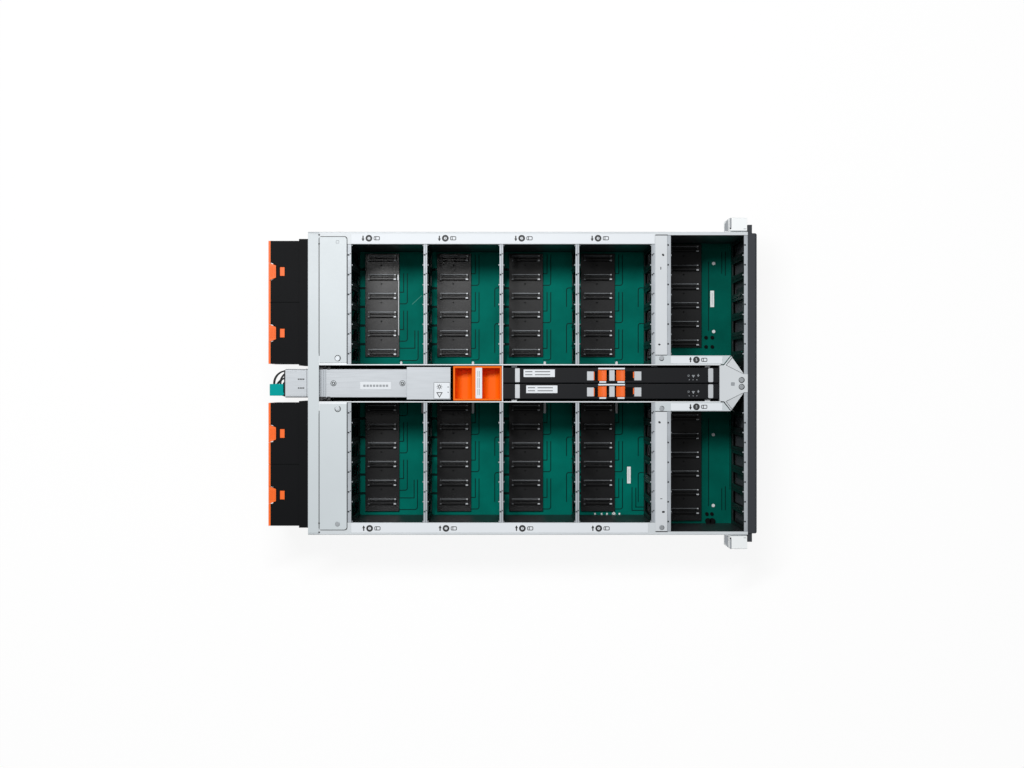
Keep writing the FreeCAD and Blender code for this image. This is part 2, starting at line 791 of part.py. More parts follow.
def fan_housing(yc):
    """Moulded fan body: square outside with a round duct, a motor cup on four struts at the rear,
    and a pocket for the release lever."""
    half = fan_module_width / 2
    x0 = fan_housing_rear_x
    shell = box(x0, fan_front_x, yc - half, yc + half, fan_bottom, fan_top)
    duct = rod(fan_bore_radius, fan_front_x - x0 + 2, vec(x0 - 1, yc, fan_centre_z), vec(1, 0, 0))
    pocket = box(
        x0 - 1, button_x0 + button_length + latch_clearance,
        yc - button_half - latch_clearance, yc + button_half + latch_clearance,
        lever_bottom - lever_slack, lever_top + latch_clearance,
    )
    window = box(
        button_x0 - latch_clearance, button_x0 + button_length + latch_clearance,
        yc - button_half - latch_clearance, yc + button_half + latch_clearance,
        lever_top, fan_top + 1,
    )
    slot = notch(yc, latch_clearance, x0 - 1, lever_bottom - lever_slack, fan_top + 1)
    shell = shell.cut([duct, pocket, window, slot])
    cup = rod(fan_hub_radius, motor_length, vec(x0, yc, fan_centre_z), vec(1, 0, 0))
    reach = fan_bore_radius + 1.0
    struts = []
    for i in range(4):
        bar = box(x0, x0 + strut_length, yc - 1.4, yc + 1.4, fan_centre_z + fan_hub_radius - 2, fan_centre_z + reach)
        bar.rotate(vec(x0, yc, fan_centre_z), vec(1, 0, 0), 45 + 90 * i)
        struts.append(bar)
    bearing = rod(shaft_radius + 0.3, motor_length, vec(x0 + 4, yc, fan_centre_z), vec(1, 0, 0))
    return shell.multiFuse([cup] + struts).removeSplitter().cut(bearing)


def fan_face(yc):
    """Coloured rear plate of the module with the round outlet and the notch for the finger tab."""
    half = fan_module_width / 2
    plate = box(fan_rear_x, fan_housing_rear_x, yc - half, yc + half, fan_bottom, fan_top)
    outlet = rod(fan_bore_radius - 1.0, 10, vec(fan_rear_x - 1, yc, fan_centre_z), vec(1, 0, 0))
    slot = notch(yc, latch_clearance, fan_rear_x - 1, lever_bottom - lever_slack, fan_top + 1)
    return plate.cut([outlet, slot])


def fan_latch(yc):
    """Release lever: a finger tab at the rear, a neck under the top wall and a button in its window."""
    top = fan_top - 0.5
    tab = notch(yc, -0.2, fan_rear_x, lever_bottom, top)
    neck = box(fan_rear_x + notch_depth - 1, button_x0 + 1, yc - 5, yc + 5, lever_bottom, lever_top)
    button = box(button_x0, button_x0 + button_length, yc - button_half, yc + button_half, lever_bottom, top)
    ridge_x = fan_rear_x + 3.0
    ridges = [box(ridge_x + i * 2.6, ridge_x + i * 2.6 + 1.0, yc - 7, yc + 7, top, top + 0.4) for i in range(3)]
    return fused([tab, neck, button] + ridges)


def fan_blade(yc):
    """Blade above the hub: an arc-shaped strip, set at an angle, drawn out along the radius."""
    half = blade_chord / 2
    middle = rotor_x0 + fan_rotor_length / 2
    z0 = fan_centre_z + fan_hub_radius - 2.0
    reach = fan_bore_radius - fan_tip_clearance - fan_hub_radius + 1.0
    sides = []
    for across in (blade_thickness / 2, -blade_thickness / 2):
        ends = [vec(middle - half, yc + across, z0), vec(middle + half, yc + across, z0)]
        crown = vec(middle, yc + across + blade_camber, z0)
        sides.append((ends, Part.Arc(ends[0], crown, ends[1]).toShape()))
    (near_ends, near), (far_ends, far) = sides
    start = Part.makeLine(near_ends[0], far_ends[0])
    end = Part.makeLine(near_ends[1], far_ends[1])
    section = Part.Face(Part.Wire(Part.sortEdges([near, end, far, start])[0]))
    blade = section.extrude(vec(0, 0, reach))
    blade.rotate(vec(middle, yc, z0), vec(0, 0, 1), blade_angle)
    return blade


def fan_rotor(yc):
    """Impeller with a domed hub, curved blades set at an angle, and its shaft."""
    hub_length = fan_rotor_length
    axis = vec(1, 0, 0)
    nose = 4.0
    hub_outline = [
        (rotor_x0, 0),
        (rotor_x0, fan_hub_radius),
        (rotor_x0 + hub_length - nose, fan_hub_radius),
        (rotor_x0 + hub_length, fan_hub_radius - nose),
        (rotor_x0 + hub_length, 0),
    ]
    face = face_of([vec(x, yc, fan_centre_z + r) for x, r in hub_outline])
    hub = face.revolve(vec(0, yc, fan_centre_z), axis, 360)
    shaft = rod(shaft_radius, 12.0, vec(rotor_x0 - 11.0, yc, fan_centre_z), axis)
    blade = fan_blade(yc)
    blades = []
    for i in range(fan_blade_count):
        copy = blade.copy()
        copy.rotate(vec(0, yc, fan_centre_z), axis, 360 / fan_blade_count * i)
        blades.append(copy)
    return hub.multiFuse([shaft] + blades)


def psu_case(z0):
    """Metal box of one power supply, with a pocket behind its mains inlet."""
    half = psu_width / 2
    case = box(cage_rear_x + 0.2, cage_front_x - 0.2, -half, half, z0, z0 + psu_height)
    x0 = cage_rear_x
    pocket = box(x0 - 1, x0 + inlet_depth, -inlet_half_width, inlet_half_width,
                 z0 + inlet_bottom, z0 + inlet_bottom + inlet_height)
    return case.cut(pocket)


# Rear of one power supply, as heights above its own bottom
inlet_half_width = 13.5
inlet_bottom = 4.0
inlet_height = 20.0
inlet_depth = 14.0
pad_bottom = psu_height - pad_below_top
psu_grip_x = cage_rear_x - psu_rear_thickness
pad_y1 = -0.9
pad_pin_y = pad_y1 - thumb_pad_width + 3.0
pad_pivot_x = psu_grip_x - body_clearance - pad_pin_radius


def arc_band(cx, cy, radius, x_limit, z0, z1):
    """Thin upright strip bent along a circle, kept behind a plane."""
    ring = rod(radius, z1 - z0, vec(cx, cy, z0), vec(0, 0, 1))
    ring = ring.cut(rod(radius - handle_band, z1 - z0, vec(cx, cy, z0), vec(0, 0, 1)))
    keep = box(cx - radius - 1, x_limit, cy - radius - 1, cy + radius + 1, z0, z1)
    return ring.common(keep)


def psu_rear(z0):
    """Black moulding on the back of a power supply: mains inlet, air slots and a crescent pull handle."""
    half = psu_width / 2
    x0 = psu_grip_x
    x1 = cage_rear_x + 0.2
    plate = box(x0, x1, -half, half, z0, z0 + psu_height)
    z_low = z0 + grip_bottom
    z_high = z_low + handle_height
    reach = 2 * handle_radius
    outer = arc_band(x0, 0, handle_radius - 0.6, x0, z_low, z_high)
    inner_keep = box(x0 - reach, x0 + reach, -8.5, 9.4, z_low, z_high)
    inner = arc_band(x0 + 3.2, -11.0, handle_radius + 0.5, x0, z_low, z_high).common(inner_keep)
    shape = fused([plate, outer, inner])
    slots = [
        box(x0 - 1, x1 + 1, -half + 4, half - 4, z0 + 51.0 + i * 5.0, z0 + 53.4 + i * 5.0) for i in range(4)
    ]
    inlet = box(x0 - 1, x1 + 1, -inlet_half_width, inlet_half_width,
                z0 + inlet_bottom, z0 + inlet_bottom + inlet_height)
    return shape.cut(slots + [inlet])


def psu_latch(z0):
    """Sprung thumb lever that unlocks a power supply: a pad that turns on an upright pin."""
    x_out = fan_rear_x
    x_in = x_out + thumb_pad_length
    y0 = pad_y1 - thumb_pad_width
    z_low = z0 + pad_bottom
    pad = box(x_out, x_in, y0, pad_y1, z_low, z_low + pad_height)
    upright = [e for e in pad.Edges if abs(e.CenterOfMass.z - z_low - pad_height / 2) < 0.01]
    pad = pad.makeFillet(1.0, upright)
    pin = rod(pad_pin_radius, pad_height, vec(pad_pivot_x, pad_pin_y, z_low), vec(0, 0, 1))
    return pad.fuse(pin)


# Recess in the top of a module, from the module's rear end
io_pocket_x0 = io_x0 + io_pocket_from_rear
io_pocket_x1 = io_pocket_x0 + io_pocket_length


def io_case(yc):
    """Slim module standing in the channel, with a recess for its two latch pads and a bridge over it."""
    half = io_width / 2
    shell = box(io_x0, io_x1, yc - half, yc + half, channel_floor, io_top)
    recess = box(io_pocket_x0, io_pocket_x1, yc - io_pocket_width / 2, yc + io_pocket_width / 2,
                 io_top - io_pocket_depth, io_top + 1)
    bridge_x0 = (io_pocket_x0 + io_pocket_x1 - io_bridge_length) / 2
    bridge = box(bridge_x0, bridge_x0 + io_bridge_length, yc - io_pocket_width / 2 - 1, yc + io_pocket_width / 2 + 1,
                 io_top - io_bridge_thickness, io_top)
    long_top = [
        e
        for e in shell.Edges
        if abs(abs(e.CenterOfMass.y - yc) - half) < 0.01 and abs(e.CenterOfMass.z - io_top) < 0.01
    ]
    shell = shell.makeFillet(0.8, long_top)
    return fused([shell.cut(recess), bridge])


def io_latch(yc, front):
    """Finger pad of a module's squeeze latch, with a dished top, sliding under the bridge."""
    half = io_pocket_width / 2 - body_clearance
    z0 = io_top - io_pocket_depth + body_clearance
    z1 = io_top - io_bridge_thickness - body_clearance
    if front:
        x1 = io_pocket_x1 - body_clearance
        x0 = x1 - io_pad_length
    else:
        x0 = io_pocket_x0 + body_clearance
        x1 = x0 + io_pad_length
    pad = box(x0, x1, yc - half, yc + half, z0, z1)
    radius = 16.0
    dish = rod(radius, 2 * half, vec((x0 + x1) / 2, yc - half, z1 + radius - 1.6), vec(0, 1, 0))
    return pad.cut(dish)


def lift_carrier():
    """Lift-out moulding with two finger scoops either side of a pinch rib, on two upright cheeks."""
    half = lift_handle_width / 2
    z1 = chassis_height - 2.0
    z0 = z1 - scoop_depth - lift_handle_wall
    block = box(lift_x0, lift_x1, -half, half, z0, z1)
    rib_x = lift_x0 + lift_handle_length * 0.49
    spans = [
        (lift_x0 + lift_handle_wall, rib_x - lift_rib_thickness / 2),
        (rib_x + lift_rib_thickness / 2, lift_x1 - lift_handle_wall),
    ]
    scoops = []
    for x0, x1 in spans:
        scoop = box(x0, x1, -half + lift_handle_wall, half - lift_handle_wall, z0 + lift_handle_wall, z1 + 5)
        low = [
            e
            for e in scoop.Edges
            if abs(e.CenterOfMass.z - z0 - lift_handle_wall) < 0.01 and abs(e.CenterOfMass.y) < 0.01
        ]
        scoops.append(scoop.makeFillet(9.0, low))
    cheeks = [
        box(x, x + lift_handle_wall, -half, half, channel_floor, z0)
        for x in (lift_x0, lift_x1 - lift_handle_wall)
    ]
    return fused([block.cut(scoops)] + cheeks)


os.makedirs("parts", exist_ok=True)

# Shell of the enclosure
write("base_pan", base_pan())
write("side_wall_left", side_wall(1))
write("side_wall_right", side_wall(-1))
write("rear_frame", rear_frame())
for i, x in enumerate(wall_x):
    ribs_ahead = i < rear_rows
    pair = wall_pair(x, channel_outer_y, rim_inner_y, first_drive_y, front_ribs=ribs_ahead, rear_ribs=i > 0)
    write("bay_wall_%d" % (i + 1), pair)
front_drive_y = first_drive_y + front_row_shift
write("row5_rear_wall", wall_pair(row5_wall_x, front_rail_y, front_hem_y, front_drive_y, rear_ribs=False))
write("front_wall", wall_pair(front_wall_x, 0.0, front_hem_y, front_drive_y, front_ribs=False))
write("channel_wall_left", channel_wall(1).fuse(channel_cross_wall()).removeSplitter())
write("channel_wall_right", channel_wall(-1))

# Boards and drive sockets
write("baseboard_rear", baseboard_rear())
write("baseboard_front", baseboard_front())
for i in range(rear_rows):
    write("drive_sockets_row_%d" % (i + 1), socket_row(wall_x[i], first_drive_y))
write("drive_sockets_row_5", socket_row(row5_wall_x, front_drive_y))

# Top plates and their screws
write("rear_covers", group([rear_cover(1), rear_cover(-1)]))
write("partition_plates", group([partition_plate(1), partition_plate(-1)]))
write("front_rails", group([front_rail(1), front_rail(-1)]))
write("front_apex", front_apex())
write("psu_cage", psu_cage())
write("channel_covers", channel_covers())
write("cover_screws", cover_screws())

# Front and rear faces
write("bezel", bezel())
write("rack_ears", group([rack_ear(1), rack_ear(-1)]))
write("fan_bay_frames", group([fan_bay_frame(1), fan_bay_frame(-1)]))
write("port_panels", group([port_panel(1), port_panel(-1)]))

# Pieces that move
for i, yc in enumerate(fan_centres):
    write("fan_housing_%d" % (i + 1), fan_housing(yc))
    write("fan_face_%d" % (i + 1), fan_face(yc))
    write("fan_latch_%d" % (i + 1), fan_latch(yc))
    write("fan_rotor_%d" % (i + 1), fan_rotor(yc))
for i, z0 in enumerate(psu_floor):
    write("psu_case_%d" % (i + 1), psu_case(z0))
    write("psu_rear_%d" % (i + 1), psu_rear(z0))
    write("psu_latch_%d" % (i + 1), psu_latch(z0))
for i, yc in enumerate(io_centre_y):
    write("io_case_%d" % (i + 1), io_case(yc))
    write("io_latch_front_%d" % (i + 1), io_latch(yc, True))
    write("io_latch_rear_%d" % (i + 1), io_latch(yc, False))
write("lift_carrier", lift_carrier())
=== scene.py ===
# %% [markdown]
# A disk shelf for a rack, seen from above with its covers and its drives out.
# The measured solids come in first, as a fixed frame, and every piece that
# is made here lies on one of them and moves with its body.

# %% Load the frame
import math
import bpy
from mathutils import Matrix, Vector


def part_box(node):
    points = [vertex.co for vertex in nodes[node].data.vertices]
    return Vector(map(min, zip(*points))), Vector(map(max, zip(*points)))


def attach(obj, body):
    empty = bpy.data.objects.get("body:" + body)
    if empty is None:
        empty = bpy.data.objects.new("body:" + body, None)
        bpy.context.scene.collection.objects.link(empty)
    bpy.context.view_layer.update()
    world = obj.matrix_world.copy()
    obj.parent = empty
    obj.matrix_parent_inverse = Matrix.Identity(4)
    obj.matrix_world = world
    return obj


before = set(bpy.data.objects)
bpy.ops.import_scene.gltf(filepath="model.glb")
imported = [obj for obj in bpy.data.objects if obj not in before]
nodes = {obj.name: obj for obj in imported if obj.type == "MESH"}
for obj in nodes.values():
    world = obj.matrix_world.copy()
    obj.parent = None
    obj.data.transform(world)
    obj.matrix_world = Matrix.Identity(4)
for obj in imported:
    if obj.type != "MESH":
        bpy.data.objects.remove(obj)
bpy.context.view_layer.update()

# %% [markdown]
# The photograph was taken from straight above with a long lens, so the side
# walls hardly show. A camera without a tilt gives the same picture: its
# height and lens set how fast the bays narrow towards their floors. A tilted
# camera with a shift would do too, but this one is easier to check.

# %% Camera
CAMERA_PLACE = (-0.0007, -0.001, 2.924)
CAMERA_LENS = 66.4
camera = bpy.data.objects.new("camera", bpy.data.cameras.new("camera"))
bpy.context.collection.objects.link(camera)
camera.location = CAMERA_PLACE
camera.data.lens = CAMERA_LENS
camera.data.clip_end = 50
bpy.context.scene.camera = camera
bpy.context.scene.view_settings.view_transform = "Standard"
print("camera at", tuple(round(v, 4) for v in camera.location))

# %% [markdown]
# A strip lamp hangs over the far side, as in the photograph: it reaches the
# boards between the tall walls, and leaves the far end of each bay in a sharp
# shade. A small one gives the gloss on the first row's sockets. An even white
# world fills the rest, so that a colour renders about as it is written.

# %% Light
WORLD_LEVEL = 0.27
world = bpy.data.worlds.new("studio")
bpy.context.scene.world = world
world.use_nodes = True
world_nodes = world.node_tree.nodes
world_links = world.node_tree.links
background = world_nodes["Background"]
background.inputs["Color"].default_value = (1, 1, 1, 1)
background.inputs["Strength"].default_value = WORLD_LEVEL
bright = world_nodes.new("ShaderNodeBackground")
bright.inputs["Color"].default_value = (1, 1, 1, 1)
bright.inputs["Strength"].default_value = 1.0
path = world_nodes.new("ShaderNodeLightPath")
mix = world_nodes.new("ShaderNodeMixShader")
world_links.new(path.outputs["Is Camera Ray"], mix.inputs["Fac"])
world_links.new(background.outputs["Background"], mix.inputs[1])
world_links.new(bright.outputs["Background"], mix.inputs[2])
world_links.new(mix.outputs["Shader"], world_nodes["World Output"].inputs["Surface"])


def soft_box(name, place, aim, length, width, power):
    """A lamp that faces a point, long in X."""
    lamp = bpy.data.lights.new(name, "AREA")
    lamp.shape = "RECTANGLE"
    lamp.size = length
    lamp.size_y = width
    lamp.energy = power
    holder = bpy.data.objects.new(name, lamp)
    bpy.context.collection.objects.link(holder)
    holder.location = place
    turn = (Vector(aim) - Vector(place)).to_track_quat("-Z", "Y")
    holder.rotation_euler = turn.to_euler()


soft_box("key_strip", (-0.32, 0.7, 2.45), (0, 0, 0.1), 1.0, 0.12, 43)
soft_box("gloss_box", (-0.365, 0.27, 2.5), (-0.2, 0.14, 0.1), 0.1, 0.14, 1.9)

# %% [markdown]
# The floor is a pale sheet that fades to white for the camera, as paper does
# in a studio, and still takes the shelf's soft shadow. Light Path tells what
# the camera sees, straight or in a gloss, from what only lights the shelf, so
# the white doesn't spill on the object.

# %% Floor
FLOOR_SIZE = 12
FLOOR_LEVEL = -0.0005
FLOOR_WHITE = 0.87
FLOOR_GLOW = 1.03
bpy.ops.object.select_all(action="DESELECT")
bpy.ops.mesh.primitive_plane_add(size=FLOOR_SIZE, location=(0, 0, FLOOR_LEVEL))
floor = bpy.context.object
floor.name = "floor"
paper = bpy.data.materials.new("studio_paper")
paper.use_nodes = True
tree = paper.node_tree
tree.nodes.clear()
matte = tree.nodes.new("ShaderNodeBsdfDiffuse")
matte.inputs["Color"].default_value = (0.9, 0.9, 0.9, 1)
glow = tree.nodes.new("ShaderNodeEmission")
glow.inputs["Strength"].default_value = FLOOR_GLOW
path = tree.nodes.new("ShaderNodeLightPath")
seen = tree.nodes.new("ShaderNodeMath")
seen.operation = "MAXIMUM"
seen_or_passed = tree.nodes.new("ShaderNodeMath")
seen_or_passed.operation = "MAXIMUM"
share = tree.nodes.new("ShaderNodeMath")
share.operation = "MULTIPLY"
share.inputs[1].default_value = FLOOR_WHITE
mix = tree.nodes.new("ShaderNodeMixShader")
output = tree.nodes.new("ShaderNodeOutputMaterial")
tree.links.new(path.outputs["Is Camera Ray"], seen.inputs[0])
tree.links.new(path.outputs["Is Glossy Ray"], seen.inputs[1])
tree.links.new(seen.outputs[0], seen_or_passed.inputs[0])
tree.links.new(path.outputs["Is Transmission Ray"], seen_or_passed.inputs[1])
tree.links.new(seen_or_passed.outputs[0], share.inputs[0])
tree.links.new(share.outputs[0], mix.inputs["Fac"])
tree.links.new(matte.outputs[0], mix.inputs[1])
tree.links.new(glow.outputs[0], mix.inputs[2])
tree.links.new(mix.outputs[0], output.inputs["Surface"])
floor.data.materials.append(paper)
print("floor is", FLOOR_SIZE, "metres wide")

# %% [markdown]
# Nearly every finish on the shelf is a thin coat or a moulded skin, so one
# builder makes them all. Broad noise shifts the colour a little, fine noise
# gives the grain and breaks up the gloss, and a Bevel node rounds the sharp
# edges of the solids in the shading. Where that rounded normal leaves the
# true one, there is an edge, and a worn tint shows there. Some sheets get a
# painted shade, pale on top and darker on their sides, so a finish can take a
# second, shaded colour for the sides. Painted textures would look right from
# one side only, and these hold from every side.

# %% Finish builder
COLOUR_A, COLOUR_B, COLOUR_OUT = 6, 7, 2
ROUGH_SPREAD = 0.07
ROUND_EDGE = 0.0006
EVERYWHERE = 9.0
NOWHERE = -1.0


def linear(red, green, blue):
    """A colour as it looks on screen, 0 to 255, as the shader wants it."""
    out = []
    for value in (red, green, blue):
        share = value / 255
        out.append(share / 12.92 if share < 0.04045 else ((share + 0.055) / 1.055) ** 2.4)
    return (*out, 1)


def shaded(colour, factor):
    return (*[min(1.0, c * factor) for c in colour[:3]], 1)


def add_node(tree, kind, **settings):
    node = tree.nodes.new(kind)
    for name, value in settings.items():
        setattr(node, name, value)
    return node


def noise_of(tree, coordinates, scale, stretch=(1, 1, 1), detail=4):
    """Noise on Object coordinates, drawn out along an axis where stretch is low."""
    mapping = add_node(tree, "ShaderNodeMapping")
    mapping.inputs["Scale"].default_value = [scale * s for s in stretch]
    noise = add_node(tree, "ShaderNodeTexNoise")
    noise.inputs["Scale"].default_value = 1
    noise.inputs["Detail"].default_value = detail
    tree.links.new(coordinates, mapping.inputs["Vector"])
    tree.links.new(mapping.outputs["Vector"], noise.inputs["Vector"])
    return noise.outputs["Fac"]


def spread(tree, value, low, high, start=0.3, end=0.7):
    """A value's middle stretch mapped to a range."""
    node = add_node(tree, "ShaderNodeMapRange")
    node.inputs["From Min"].default_value = start
    node.inputs["From Max"].default_value = end
    node.inputs["To Min"].default_value = low
    node.inputs["To Max"].default_value = high
    tree.links.new(value, node.inputs["Value"])
    return node.outputs["Result"]


def blend_colours(tree, share, first, second):
    """Mix two colours, each a value or a socket."""
    node = add_node(tree, "ShaderNodeMix", data_type="RGBA")
    tree.links.new(share, node.inputs["Factor"])
    for colour, socket in ((first, node.inputs[COLOUR_A]), (second, node.inputs[COLOUR_B])):
        if isinstance(colour, tuple):
            socket.default_value = colour
        else:
            tree.links.new(colour, socket)
    return node.outputs[COLOUR_OUT]


def calculate(tree, operation, first, second):
    """A Math node on a socket and a second socket or value."""
    node = add_node(tree, "ShaderNodeMath", operation=operation)
    tree.links.new(first, node.inputs[0])
    if isinstance(second, float):
        node.inputs[1].default_value = second
    elif second is not None:
        tree.links.new(second, node.inputs[1])
    return node.outputs[0]


def split(tree, vector):
    """The X, Y and Z of a vector, as sockets by name."""
    node = add_node(tree, "ShaderNodeSeparateXYZ")
    tree.links.new(vector, node.inputs[0])
    return node.outputs


def darker_sides(tree, base, sides, where, normal, grains, sides_within, ledges_below):
    """The base colour where a face looks up from above ledges_below, or further from the middle
    line than sides_within. Elsewhere a painted shade, a darker speckled colour for the sides."""
    speckled = blend_colours(tree, spread(tree, grains, 0, 1), shaded(sides, 0.6),
                             shaded(sides, 1.7))
    place = split(tree, where)
    faces_up = spread(tree, split(tree, normal)["Z"], 0, 1, 0.5, 0.7)
    above = calculate(tree, "GREATER_THAN", place["Z"], ledges_below)
    top_face = calculate(tree, "MULTIPLY", faces_up, above)
    from_middle = calculate(tree, "ABSOLUTE", place["Y"], None)
    outside = calculate(tree, "GREATER_THAN", from_middle, sides_within)
    return blend_colours(tree, calculate(tree, "MAXIMUM", top_face, outside), speckled, base)


def finish(name, colour, rough=0.45, metallic=0.0, mottle=0.06, grain=900, stretch=(1, 1, 1),
           depth=0.00003, wear=1.25, broad=9, shine=0.5,
           sides=None, sides_within=EVERYWHERE, ledges_below=NOWHERE):
    """A material with mottled colour, grain, uneven gloss and worn edges, and a painted shade,
    a second colour for the sides, where one is given. The last two values are in metres."""
    material = bpy.data.materials.new(name)
    material.use_nodes = True
    tree = material.node_tree
    shader = tree.nodes["Principled BSDF"]
    shader.inputs["Metallic"].default_value = metallic
    shader.inputs["Specular IOR Level"].default_value = shine
    where = add_node(tree, "ShaderNodeTexCoord").outputs["Object"]
    clouds = noise_of(tree, where, broad, stretch)
    grains = noise_of(tree, where, grain, stretch, detail=2)
    round_edge = add_node(tree, "ShaderNodeBevel", samples=4)
    round_edge.inputs["Radius"].default_value = ROUND_EDGE
    true_normal = add_node(tree, "ShaderNodeNewGeometry")
    agree = add_node(tree, "ShaderNodeVectorMath", operation="DOT_PRODUCT")
    tree.links.new(round_edge.outputs["Normal"], agree.inputs[0])
    tree.links.new(true_normal.outputs["Normal"], agree.inputs[1])
    worn = spread(tree, agree.outputs["Value"], 0.8, 0.0, 0.75, 0.98)
    clouded = blend_colours(
        tree, spread(tree, clouds, 0, 1), shaded(colour, 1 - mottle), shaded(colour, 1 + mottle))
    base = blend_colours(tree, worn, clouded, shaded(colour, wear))
    # A second colour for the sides is a painted shade.
    if sides:
        base = darker_sides(tree, base, sides, where, true_normal.outputs["Normal"], grains,
                            sides_within, ledges_below)
    tree.links.new(base, shader.inputs["Base Color"])
    roughness = spread(tree, grains, rough - ROUGH_SPREAD, rough + ROUGH_SPREAD)
    tree.links.new(roughness, shader.inputs["Roughness"])
    bump = add_node(tree, "ShaderNodeBump")
    bump.inputs["Strength"].default_value = 0.6
    bump.inputs["Distance"].default_value = depth
    tree.links.new(grains, bump.inputs["Height"])
    tree.links.new(round_edge.outputs["Normal"], bump.inputs["Normal"])
    tree.links.new(bump.outputs["Normal"], shader.inputs["Normal"])
    return material


def dress(material, *names):
    """Give CAD nodes a finish in place of their plain one."""
    for name in names:
        solid = nodes[name]
        solid.data.materials.clear()
        solid.data.materials.append(material)


print("finish builder ready")

# %% [markdown]
# The folded sheets are steel with a pale powder coat. Powder dries with a
# faint orange peel, so its grain is coarser and softer than plastic's. The
# ears' latch housings are painted whiter, and the plenum covers are a touch
# smoother. The side walls' faces inside the bays get a dark painted shade.

# %% Coated sheets
pale_coat = finish("pale_powder_coat", linear(200, 208, 212), rough=0.42, mottle=0.03, grain=1400,
                   wear=1.05)
cover_coat = finish("cover_powder_coat", linear(201, 209, 213), rough=0.4, mottle=0.03, grain=1400,
                    wear=1.05)
# The side walls' faces inside the bays, other than their tops, get a dark painted shade.
wall_coat = finish("side_wall_coat", linear(207, 213, 217), rough=0.42, mottle=0.03, grain=1400,
                   wear=1.05, sides=linear(40, 42, 45), sides_within=0.219)
partition_coat = finish("partition_coat", linear(210, 215, 219), rough=0.38, mottle=0.04,
                        grain=1300, wear=1.08)
white_paint = finish("white_ear_paint", linear(246, 250, 251), rough=0.35, mottle=0.02, grain=1500,
                     wear=1.02)
dress(pale_coat, "base_pan", "rear_frame")
dress(wall_coat, "side_wall_left", "side_wall_right")
dress(pale_coat, "front_rails")
dress(cover_coat, "rear_covers")
dress(partition_coat, "partition_plates", "front_apex")
dress(white_paint, "rack_ears")
print("coated sheets dressed")

# %% [markdown]
# The uprights between the rows are bare zinc-coated steel on top, and their
# faces and any ledge below their tops get a near-black painted shade, so one
# material splits the two by the way a face points. The channel walls get a
# grey painted shade on their sides the same way. The cage and the supplies
# show the streaks of rolled sheet, so their noise is drawn out along one axis.

# %% Bare sheets
ROLLED_ALONG_X = (0.04, 1, 1)
bay_names = ["bay_wall_%d" % n for n in range(1, 6)] + ["row5_rear_wall", "front_wall"]
# Near black, a painted shade for the faces of the uprights.
painted_shade_black = linear(30, 32, 34)
wall_zinc = finish("wall_zinc", linear(172, 178, 184), rough=0.42, metallic=0.1, mottle=0.1,
                   grain=700, wear=1.1, broad=30, shine=0.3, sides=painted_shade_black, ledges_below=0.168)
# The channel walls' sides get a grey painted shade.
channel_zinc = finish("channel_zinc", linear(222, 226, 229), rough=0.42, metallic=0.1, mottle=0.06,
                      grain=700, wear=1.1, broad=30, shine=0.3, sides=linear(60, 63, 66))
cage_zinc = finish("cage_zinc", linear(188, 193, 198), rough=0.45, metallic=0.15, mottle=0.03,
                   grain=900, stretch=ROLLED_ALONG_X, wear=1.08, shine=0.3)
supply_steel = finish("supply_steel", linear(176, 180, 184), rough=0.3, metallic=0.85, mottle=0.06,
                      grain=900, stretch=ROLLED_ALONG_X)
bolt_steel = finish("bolt_steel", linear(160, 165, 169), rough=0.35, metallic=0.6, mottle=0.08,
                    grain=2500)
dress(wall_zinc, *bay_names)
dress(channel_zinc, "channel_wall_left", "channel_wall_right")
dress(cage_zinc, "psu_cage", "channel_covers", "port_panels")
dress(supply_steel, "psu_case_1", "psu_case_2")
dress(bolt_steel, "cover_screws")
print("bare sheets dressed")

# %% [markdown]
# Solder mask over copper is a deep green lacquer, with darker and lighter
# patches where the copper planes lie below. Its shine is held low, because
# the bays are deep and would otherwise mirror the white studio. The front
# board's mask is darker, a painted shade.

# %% Boards
board_mask = finish("board_solder_mask", linear(0, 113, 100), rough=0.5, mottle=0.16, grain=2200,
                    depth=0.00001, broad=22, shine=0.015)
# A darker mask colour for the front board, a painted shade.
front_mask_painted_shade = finish("front_board_painted_shade", linear(0, 92, 80), rough=0.5, mottle=0.16, grain=2200,
                    depth=0.00001, broad=22, shine=0.015)
dress(board_mask, "baseboard_rear")
dress(front_mask_painted_shade, "baseboard_front")
print("boards dressed")

# %% [markdown]
# The mouldings: black glass-filled plastic for the sockets and fans, grey for
# the bezel, orange for everything that a hand releases, teal for the thumb
# pads of the power supplies. Moulded skins have a fine even grain.

# %% Mouldings
socket_black = finish("socket_black", linear(20, 21, 23), rough=0.27, mottle=0.25, grain=2600,
                      wear=2.6, shine=0.24, broad=40)
fan_black = finish("fan_black", linear(17, 18, 20), rough=0.5, mottle=0.08, grain=2200, wear=1.7,
                   shine=0.05)
rotor_black = finish("rotor_black", linear(25, 26, 28), rough=0.45, mottle=0.08, grain=1800,
                     wear=1.6, shine=0.2)
bezel_grey = finish("bezel_grey", linear(55, 58, 63), rough=0.5, mottle=0.06, grain=1900, wear=1.4,
                    shine=0.2)
release_orange = finish("release_orange", linear(252, 108, 30), rough=0.42, mottle=0.05,
                        grain=2200, wear=1.15, shine=0.25)
carrier_orange = finish("carrier_orange", linear(248, 112, 12), rough=0.4, mottle=0.04, grain=1500,
                        wear=1.25, shine=0.08)
pad_teal = finish("pad_teal", linear(0, 160, 158), rough=0.45, mottle=0.04, grain=1800, wear=1.1,
                  shine=0.03)
supply_black = finish("supply_black", linear(24, 25, 27), rough=0.45, mottle=0.08, grain=2200,
                      wear=1.8, shine=0.2)
module_black = finish("module_black", linear(26, 27, 30), rough=0.42, mottle=0.06, grain=2000,
                      wear=1.7, shine=0.1)
rows = range(1, 6)
fans = range(1, 5)
pair = range(1, 3)
dress(socket_black, *["drive_sockets_row_%d" % n for n in rows])
